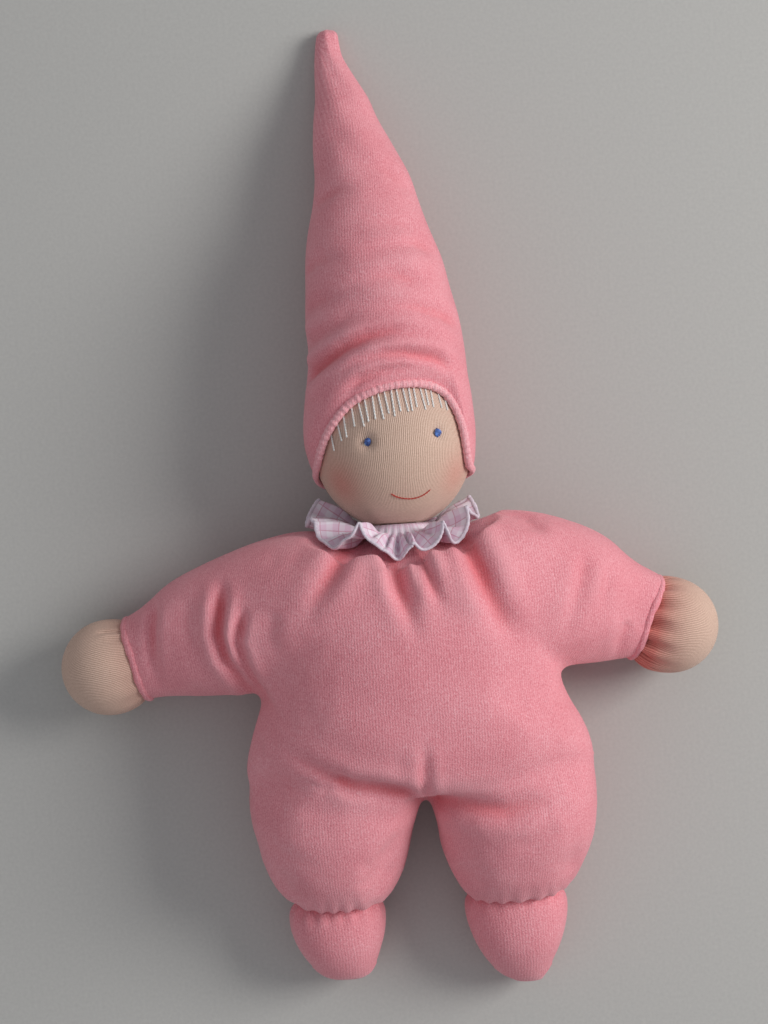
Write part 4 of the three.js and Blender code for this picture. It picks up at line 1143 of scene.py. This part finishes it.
# Eyes: each is a small star of satin stitches that cross at its middle, pulled into the cloth.
for side, place, deep in zip(("left", "right"), eye_places, eye_dimples):
    stitches = []
    for k, angle in enumerate(rad([90, 58, 122, 30, 150, 4, 176])):
        half = 1.9 - 0.09 * (k % 3) if k < 3 else 1.55 + 0.1 * (k % 2)
        reach = np.array([[-1.0], [-0.5], [0], [0.5], [1.0]]) * half
        line = front_of_head(place + reach * [math.cos(angle) * 0.86, math.sin(angle)], 0.4 - deep + 0.1 * k)
        line += out_of_head(line) * np.array([-0.2, 0.35, 0.55, 0.35, -0.2])[:, None]
        stitches.append(plied(line, out_of_head(line), 0.31, 1.5, 16))
    co, faces = joined(stitches)
    eye = add_piece(side + "_eye_star", co * MM, faces, blue_cotton)
    # Painted light: the lighter strands are painted highlights, and the whole right eye is painted lighter than the
    # left, which lies in shade
    light = np.repeat([0, 0.3, 0.05, 0.75, 0.1, 0.45, 0.0], len(co) // 7) + (0.25 if side == "right" else 0)
    set_value(eye.data, "strand_highlight", light)
    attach(eye, "head")
    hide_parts(side + "_eye")

# Mouth: one row of stem stitch in red cotton, a shallow smile.
mouth_line = np.array([[4.6, 4.9], [6.9, 3.5], [9.6, 2.7], [12.5, 2.4], [15.4, 2.8], [18, 3.9], [20.3, 5.5]])
mouth_at = front_of_head(smooth_rows(mouth_line, 25), 0.12)
co, faces = plied(mouth_at, out_of_head(mouth_at), 0.3, 7, 90)
mouth = add_piece("mouth_stem_stitch", co * MM, faces, red_cotton)
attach(mouth, "head")
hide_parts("mouth")

# Cap: a tall velour cone, stuffed with wool and sewn round the face. Its edge runs high over the
# forehead and falls past the cheeks, slowly on the left and steeply on the right.
# The turn from straight ahead in degrees, and the edge's y
cap_edge_rows = np.array(
    [
        [-180, 8], [-130, 8.6], [-105, 10.6], [-90, 12.9], [-76, 15.6], [-63, 20.6], [-48, 31.7],
        [-32, 41], [-12, 45.5], [8, 47.2], [30, 47], [44, 45], [52, 41], [56.5, 31], [59.5, 21.5],
        [66, 15], [78, 12.9], [105, 10.8], [130, 8.6], [180, 8],
    ],
    float,
)
# y, x of the middle, half width, half depth
cap_rows = np.array(
    [
        [2, 5.5, 30, 30], [12, 5.6, 33.2, 34], [21, 5.9, 34.3, 35.8], [31, 6.1, 34.8, 36.4],
        [42, 6.5, 34, 35], [52, 6.5, 32.6, 34], [64, 6.9, 31.6, 32.8], [75, 6.2, 31.2, 31.8],
        [88, 5, 29.5, 30.4], [101, 4.3, 27.8, 28.2], [113, 3.4, 24.9, 25.6], [125, 2.8, 21.8, 22.6],
        [137, 1.9, 19.4, 19.8], [150, -0.8, 16.5, 17], [162, -3.3, 13.4, 13.8], [172, -4.3, 11, 11],
        [182, -6.3, 8.2, 8.2], [190, -8, 6, 6], [196, -8.4, 5, 5], [200.3, -8.3, 4.3, 4.3],
        [202.4, -8.3, 2.9, 2.9],
    ],
    float,
)
cap_top = 203.4
# How far the cap lies off the head where it hugs it
cap_lift = 1.5
cap_fine = smooth_rows(cap_rows, 300)
edge_fine = smooth_rows(cap_edge_rows, 400)


def cap_edge(turn):
    """The height of the cap's edge by the turn from straight ahead, in radians."""
    signed = np.degrees((turn + np.pi) % (2 * np.pi) - np.pi)
    return np.interp(signed, edge_fine[:, 0], edge_fine[:, 1])


def on_cap(turn, y, inset=0.0):
    """A point of the cap: it hugs the head at its edge and follows its own sections above."""
    middle, wide, deep = (np.interp(y, cap_fine[:, 0], cap_fine[:, c]) for c in (1, 2, 3))
    free_way = np.stack([middle + (wide - inset) * np.sin(turn), y, deep - 0.2 + (deep - inset) * np.cos(turn)], -1)
    edge = cap_edge(turn)
    grow = cap_lift - inset
    level = np.clip(y, edge, np.maximum(edge, head_middle[1]))
    ring = np.sqrt(np.maximum(1 - ((level - head_middle[1]) / (head_halves[1] + grow)) ** 2, 0))
    aside = head_middle[0] + (head_halves[0] + grow) * ring * np.sin(turn)
    ahead = head_middle[2] + (head_halves[2] + grow) * ring * np.cos(turn)
    hug = np.stack([aside, y, ahead], -1)
    share = step(y - edge, -1, 15)[..., None]
    return hug * (1 - share) + free_way * share


# Folds of the cap: the line in mm, its depth and its width
cap_folds = [
    ([(-12, 45.5), (-4, 50), (4, 52.6), (12, 53.6), (20, 53), (29, 50)], 1.8, 1.9),
    ([(38, 49), (27, 56.5), (14, 59), (6, 59), (-4, 57.5), (-12, 54.5), (-22, 48.5)], 2.5, 2.5),
    ([(-34, 47), (-29, 52), (-23, 56), (-10, 62.8), (0, 66), (10.4, 67.6), (21, 66.5), (33, 62)], 3.5, 2.7),
    ([(-32, 61), (-22, 68), (-8, 74), (6, 76)], 1.5, 2.8),
    ([(40, 68), (30, 74), (19, 77), (6, 77), (-4, 74)], 1.4, 2.8),
    ([(-30, 78), (-18, 83), (-6, 84)], 1.4, 2.8),
    ([(26, 86), (12, 90), (-2, 89.5), (-12, 86)], 1.2, 2.8),
    ([(31, 99), (22, 102.5), (9, 103), (-2, 100)], 1.2, 2.7),
    ([(-28, 96), (-16, 100), (-4, 100)], 1.3, 3.0),
    ([(30, 100), (18, 110), (2, 116), (-12, 115)], 1.1, 3.3),
    ([(-24, 122), (-10, 128), (6, 129)], 1.1, 2.8),
    ([(24, 124), (12, 136), (-4, 141)], 0.9, 3.1),
    ([(-20, 146), (-8, 151), (4, 151)], 0.5, 3.8),
    ([(12, 156), (2, 163), (-10, 165)], 0.4, 3.4),
]
hem_turns = rad(edge_fine[:, 0])
hem_line = on_cap(hem_turns, cap_edge(hem_turns))
hem_run = np.append(0, np.cumsum(np.linalg.norm(np.diff(hem_line, axis=0), axis=1)))


def cap_skin(rings, sides, inset=0.0):
    """The cap's grid: columns start evenly along the edge and spread evenly round the cone above it."""
    share = np.linspace(0, 1, sides, endpoint=False)
    start = np.interp(share * hem_run[-1], hem_run, hem_turns)
    even = rad(-180) + 2 * np.pi * share
    t = np.linspace(0, 1, rings)[:, None] ** 1.15
    turn = start + (even - start) * step(t, 0, 0.35)
    low = cap_edge(start)
    y = low + (cap_rows[-1, 0] - inset - low) * t
    co = on_cap(turn, y, inset)
    above = y - low
    middle, deep = (np.interp(y, cap_fine[:, 0], cap_fine[:, c]) for c in (1, 3))
    front = step(co[..., 2] - deep, 1, 12)
    flat = co[..., :2].reshape(-1, 2)
    height = np.zeros(len(flat))
    for line, depth, width in cap_folds:
        gap, along = near_line(flat, line)
        height += fold(gap, along, depth, width)
    height = height.reshape(y.shape) * front
    height = height + 0.35 * np.sin(y / 8 + 2 * np.sin(turn * 2)) * np.cos(turn * 3 + y / 23) * step(above, 6, 30)
    out = unit(co - np.stack([middle, y, deep - 0.2], -1), 1e-6)
    co = co + out * height[..., None]
    co[..., 2] = np.maximum(co[..., 2], 0.1 + inset)
    co = co.reshape(-1, 3)
    tip = [cap_rows[-1, 1], cap_top - inset, cap_rows[-1, 3]]
    floor = on_cap(start, low, inset).mean(0)
    return np.vstack([co, [floor, tip]]), skin_faces(rings, sides), height


co, faces, height = cap_skin(190, 240)
outer = np.array([f for f in faces if len(f) == 4])
floor, tip = len(co) - 2, len(co) - 1
tip_fan = [f for f in faces if len(f) == 3 and f[0] == tip]
triangles = np.vstack([outer[:, [0, 1, 2]], outer[:, [0, 2, 3]], tip_fan])
form = add_piece("cap_sheet", np.delete(co, floor, 0) * MM, np.where(triangles == tip, floor, triangles))
sheet = form.data
wale_map(sheet)
# The cap's fold height, which the velour paints as shade in the creases and as highlight on the ridges
fold_shade_height = np.append(height.ravel(), 0)
cap = shell("cap_velour", *arrays(sheet), fold_shade_height, triangles_of(sheet), uv_per_vertex(sheet), velour_wall, pink_velour)
bpy.data.objects.remove(form)
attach(cap, "head")
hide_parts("cap")

# Cap hem: the edge is turned in and oversewn with fuzzy pink yarn, so it is a soft roll.
# The last two colours are painted light: a deeper coral for shade in the creases and a pale pink for highlight on the
# ridges.
hem_velour = velour_of(
    "hem_velour",
    srgb(222, 138, 148),
    srgb(243, 172, 180),
    srgb(253, 212, 216),
    srgb(222, 120, 126),
    srgb(246, 196, 202),
)
hem_at = np.linspace(0, hem_run[-1], 420, endpoint=False)
centre = np.stack([np.interp(hem_at, hem_run, hem_line[:, c]) for c in range(3)], -1)
out, over = squared(np.roll(centre, -1, 0) - np.roll(centre, 1, 0), out_of_head(centre))
stitch_pitch = 2.3
tug = 0.10 * np.sin(2 * np.pi * hem_at / stitch_pitch)[:, None] * (0.6 + 0.4 * np.sin(circle(hem_sides) + 1))
stitch = 1 + tug + 0.05 * np.sin(hem_at * 1.9)[:, None]
full = 0.66 + 0.34 * step(np.cos(np.interp(hem_at, hem_run, hem_turns)), -0.1, 0.5)[:, None]
co = rolled(centre, out, over, hem_sides, hem_radius * (full * stitch)[..., None], 0.9)
hem = add_roll("cap_hem", co, hem_velour)
wale_map(hem.data)
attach(hem, "head")

# Cap wool: the cone above the head is stuffed. The wool lies on the head in a bowl and fills the cone.
rings, sides = 90, 60
co, faces, _ = cap_skin(rings, sides, 2.4)
room = head_halves + 0.6
rim = unit((co[:sides] - head_middle) / room)
rise = np.linspace(0, 1, 13)[1:, None, None]
bowl = unit(rim * (1 - rise) + np.array([0, 1.0, 0]) * rise, 1e-9)
bowl = (head_middle + bowl[::-1] * room).reshape(-1, 3)
cone = co[:-2]
out = (cone - head_middle) / (head_halves + 1.0)
near = np.linalg.norm(out, axis=1)[:, None]
cone = np.where(near < 1, head_middle + (cone - head_middle) * (0.3 / near + 0.7), cone)
co = np.vstack([bowl[sides:], cone, [head_middle + [0, room[1], 0], co[-1]]])
cap_wool = add_piece("cap_wool", co * MM, skin_faces(rings + 11, sides), fleece)
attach(cap_wool, "head")
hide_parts("cap_filling")

# Hair: nineteen straight stitches of white cotton hang from under the cap's edge, side by side.
hair_count = 19
for k in range(hair_count):
    share = k / (hair_count - 1)
    turn = rad(-49 + share * 100 + 0.5 * math.sin(k * 2.3))
    edge = cap_edge(turn) - 1.2
    length = 10.5 * (1 - 0.42 * (2 * share - 0.92) ** 2) * (1 + 0.09 * math.sin(k * 3.7))
    ring = math.sqrt(max(1 - ((edge - head_middle[1]) / head_halves[1]) ** 2, 0))
    x = head_middle[0] + head_halves[0] * ring * math.sin(turn)
    run = np.linspace(0, 1, 6)
    slant = 0.12 + 0.05 * math.sin(k * 1.9)
    line = front_of_head(np.column_stack([x + slant * length * run, edge - length * run]), 0.2)
    co, faces = plied(line, out_of_head(line), 0.4, 4.0, 34)
    stitch = add_piece("hair_stitch_%02d_cotton" % (k + 1), co * MM, faces, white_cotton)
    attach(stitch, "head")
    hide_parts("hair_stitch_%02d" % (k + 1))

# Collar: a strip of thin cotton gingham, gathered on a thread round the neck. It falls in uneven
# lobes, which lie on the chest in front and stand up beside the head. Small gathers run out from the
# thread and die away towards the edge, which has slow ripples of its own.
gather_count, gather_tilt, gather_middle, gather_spread = 31, 0.2, 0.45, 0.4
ripple_count, ripple_tilt = 19, 0.03
lobe_sway = 0.08


def collar_skin(steps, rows):
    """The collar's points in mm, from the thread to the edge in rows, and each one's distance across the
    strip."""
    turn = np.linspace(-np.pi, np.pi, steps, endpoint=False)[:, None]
    t = np.linspace(0, 1, rows)[None]
    beside = np.sin(turn) ** 2
    reach = collar_reach(beside) - (1.6 + 2.2 * np.sin(turn)) * beside
    low = rad(collar_low(beside))
    high = rad(collar_high(beside))
    wave = lobe_wave(turn)
    slope = (lobe_wave(turn + 0.02) - lobe_wave(turn - 0.02)) / 0.04
    tilt = low + (high - low) * (0.5 + (wave - 0.5) * step(t, 0, 0.55))
    gathers = np.sin(turn * gather_count + np.sin(turn * 5)) * bell(t - gather_middle, gather_spread)
    ripples = np.sin(turn * ripple_count + 2 * np.sin(turn * 3)) * step(t, 0.2, 1)
    tilt = tilt + gather_tilt * gathers + ripple_tilt * ripples
    sway = turn + lobe_sway * np.tanh(slope / 4) * t**1.5
    r = collar_start + reach * t * np.cos(tilt)
    y = collar_root + reach * t * np.sin(tilt) + 3.0 * step(-t, -0.16, 0) + 0 * turn
    z = neck[2] + r * np.cos(sway)
    co = np.stack([neck[0] + r * np.sin(sway), y, np.maximum(z, 1.0)], -1)
    return co, np.broadcast_to(reach * t, y.shape)


collar_points, collar_widths = collar_skin(560, 18)
steps, rows = collar_points.shape[:2]
strip_run = np.linalg.norm(np.roll(collar_points, -1, 0) - collar_points, axis=2)[:, -4]
faces = [
    [i * rows + j, i * rows + j + 1, k * rows + j + 1, k * rows + j]
    for i, k in zip(range(steps), [*range(1, steps), 0])
    for j in range(rows - 1)
]

gingham, node, put = material("gingham", Roughness=0.85, Specular_IOR_Level=0.2, Sheen_Weight=0.1)
axes = node("SeparateXYZ", {0: node("UVMap", uv_map="cloth")}).node.outputs
check_pitch, line_pitch, line_shift, yarn_pitch = 5.2 * MM, 7.8 * MM, 1.3 * MM, 0.42 * MM


def stripes(node, value, pitch, share, soft=0.08):
    """1 in stripes that take a share of each pitch, 0 between them."""
    part = maths(node, "PINGPONG", maths(node, "DIVIDE", value, pitch), 0.5)
    gap = node("MapRange", {"Value": part, "From Min": share / 2 - soft / 2, "From Max": share / 2 + soft / 2})
    return maths(node, "SUBTRACT", 1.0, gap)


wide_u, wide_v = (stripes(node, a, check_pitch, 0.5) for a in (axes[0], axes[1]))
checks = maths(node, "MULTIPLY_ADD", maths(node, "ADD", wide_u, wide_v), 0.5, 0.0)
fine_u, fine_v = (
    stripes(node, maths(node, "ADD", a, line_shift), line_pitch, 0.045, 0.03) for a in (axes[0], axes[1])
)
yarn = maths(node, "MULTIPLY", waves(node, axes[0], yarn_pitch), waves(node, axes[1], yarn_pitch))
cotton = mixed(node, maths(node, "MULTIPLY", checks, 0.46), srgb(238, 230, 240), srgb(214, 146, 186))
lines = maths(node, "MAXIMUM", fine_u, fine_v)
put("Base Color", mixed(node, maths(node, "MULTIPLY", lines, 0.5), cotton, srgb(190, 52, 110)))
put("Normal", node("Bump", {"Strength": 0.25, "Distance": 0.08 * MM, "Height": yarn}))
collar = add_piece("collar_gingham", collar_points.reshape(-1, 3) * MM, faces, gingham)
around = np.append(0, np.cumsum(strip_run)) * MM
corner_u = np.repeat(np.stack([around[:-1], around[:-1], around[1:], around[1:]], -1), rows - 1, 0)
corner_v = (collar_widths * MM).reshape(-1)[np.array(faces)]
set_uv(collar.data, np.stack([corner_u, corner_v], -1))
applied(collar, "SOLIDIFY", thickness=0.5 * MM, offset=0.0)
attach(collar, "torso")
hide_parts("collar")

# Collar edge: the strip's outer edge is overlocked in white cotton, which makes it a small roll.
edge_line = collar_points[:, -1]
out, over = squared(np.roll(edge_line, -1, 0) - np.roll(edge_line, 1, 0), edge_line - collar_points[:, -3])
run = np.append(0, np.cumsum(np.linalg.norm(np.diff(edge_line, axis=0), axis=1)))
bumps = 1 + 0.16 * np.sin(2 * np.pi * run / 1.1)
co = rolled(edge_line - 0.35 * out, out, over, 10, bumps[:, None, None], 0.85, 0.62)
co[..., 2] = np.maximum(co[..., 2], 0.2)
overlock_cotton = thread_of("overlock_cotton", srgb(206, 192, 208), srgb(248, 243, 248), 0.7)
overlock = add_roll("collar_overlock", co, overlock_cotton)
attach(overlock, "torso")
for piece in (collar, overlock):
    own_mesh(piece)
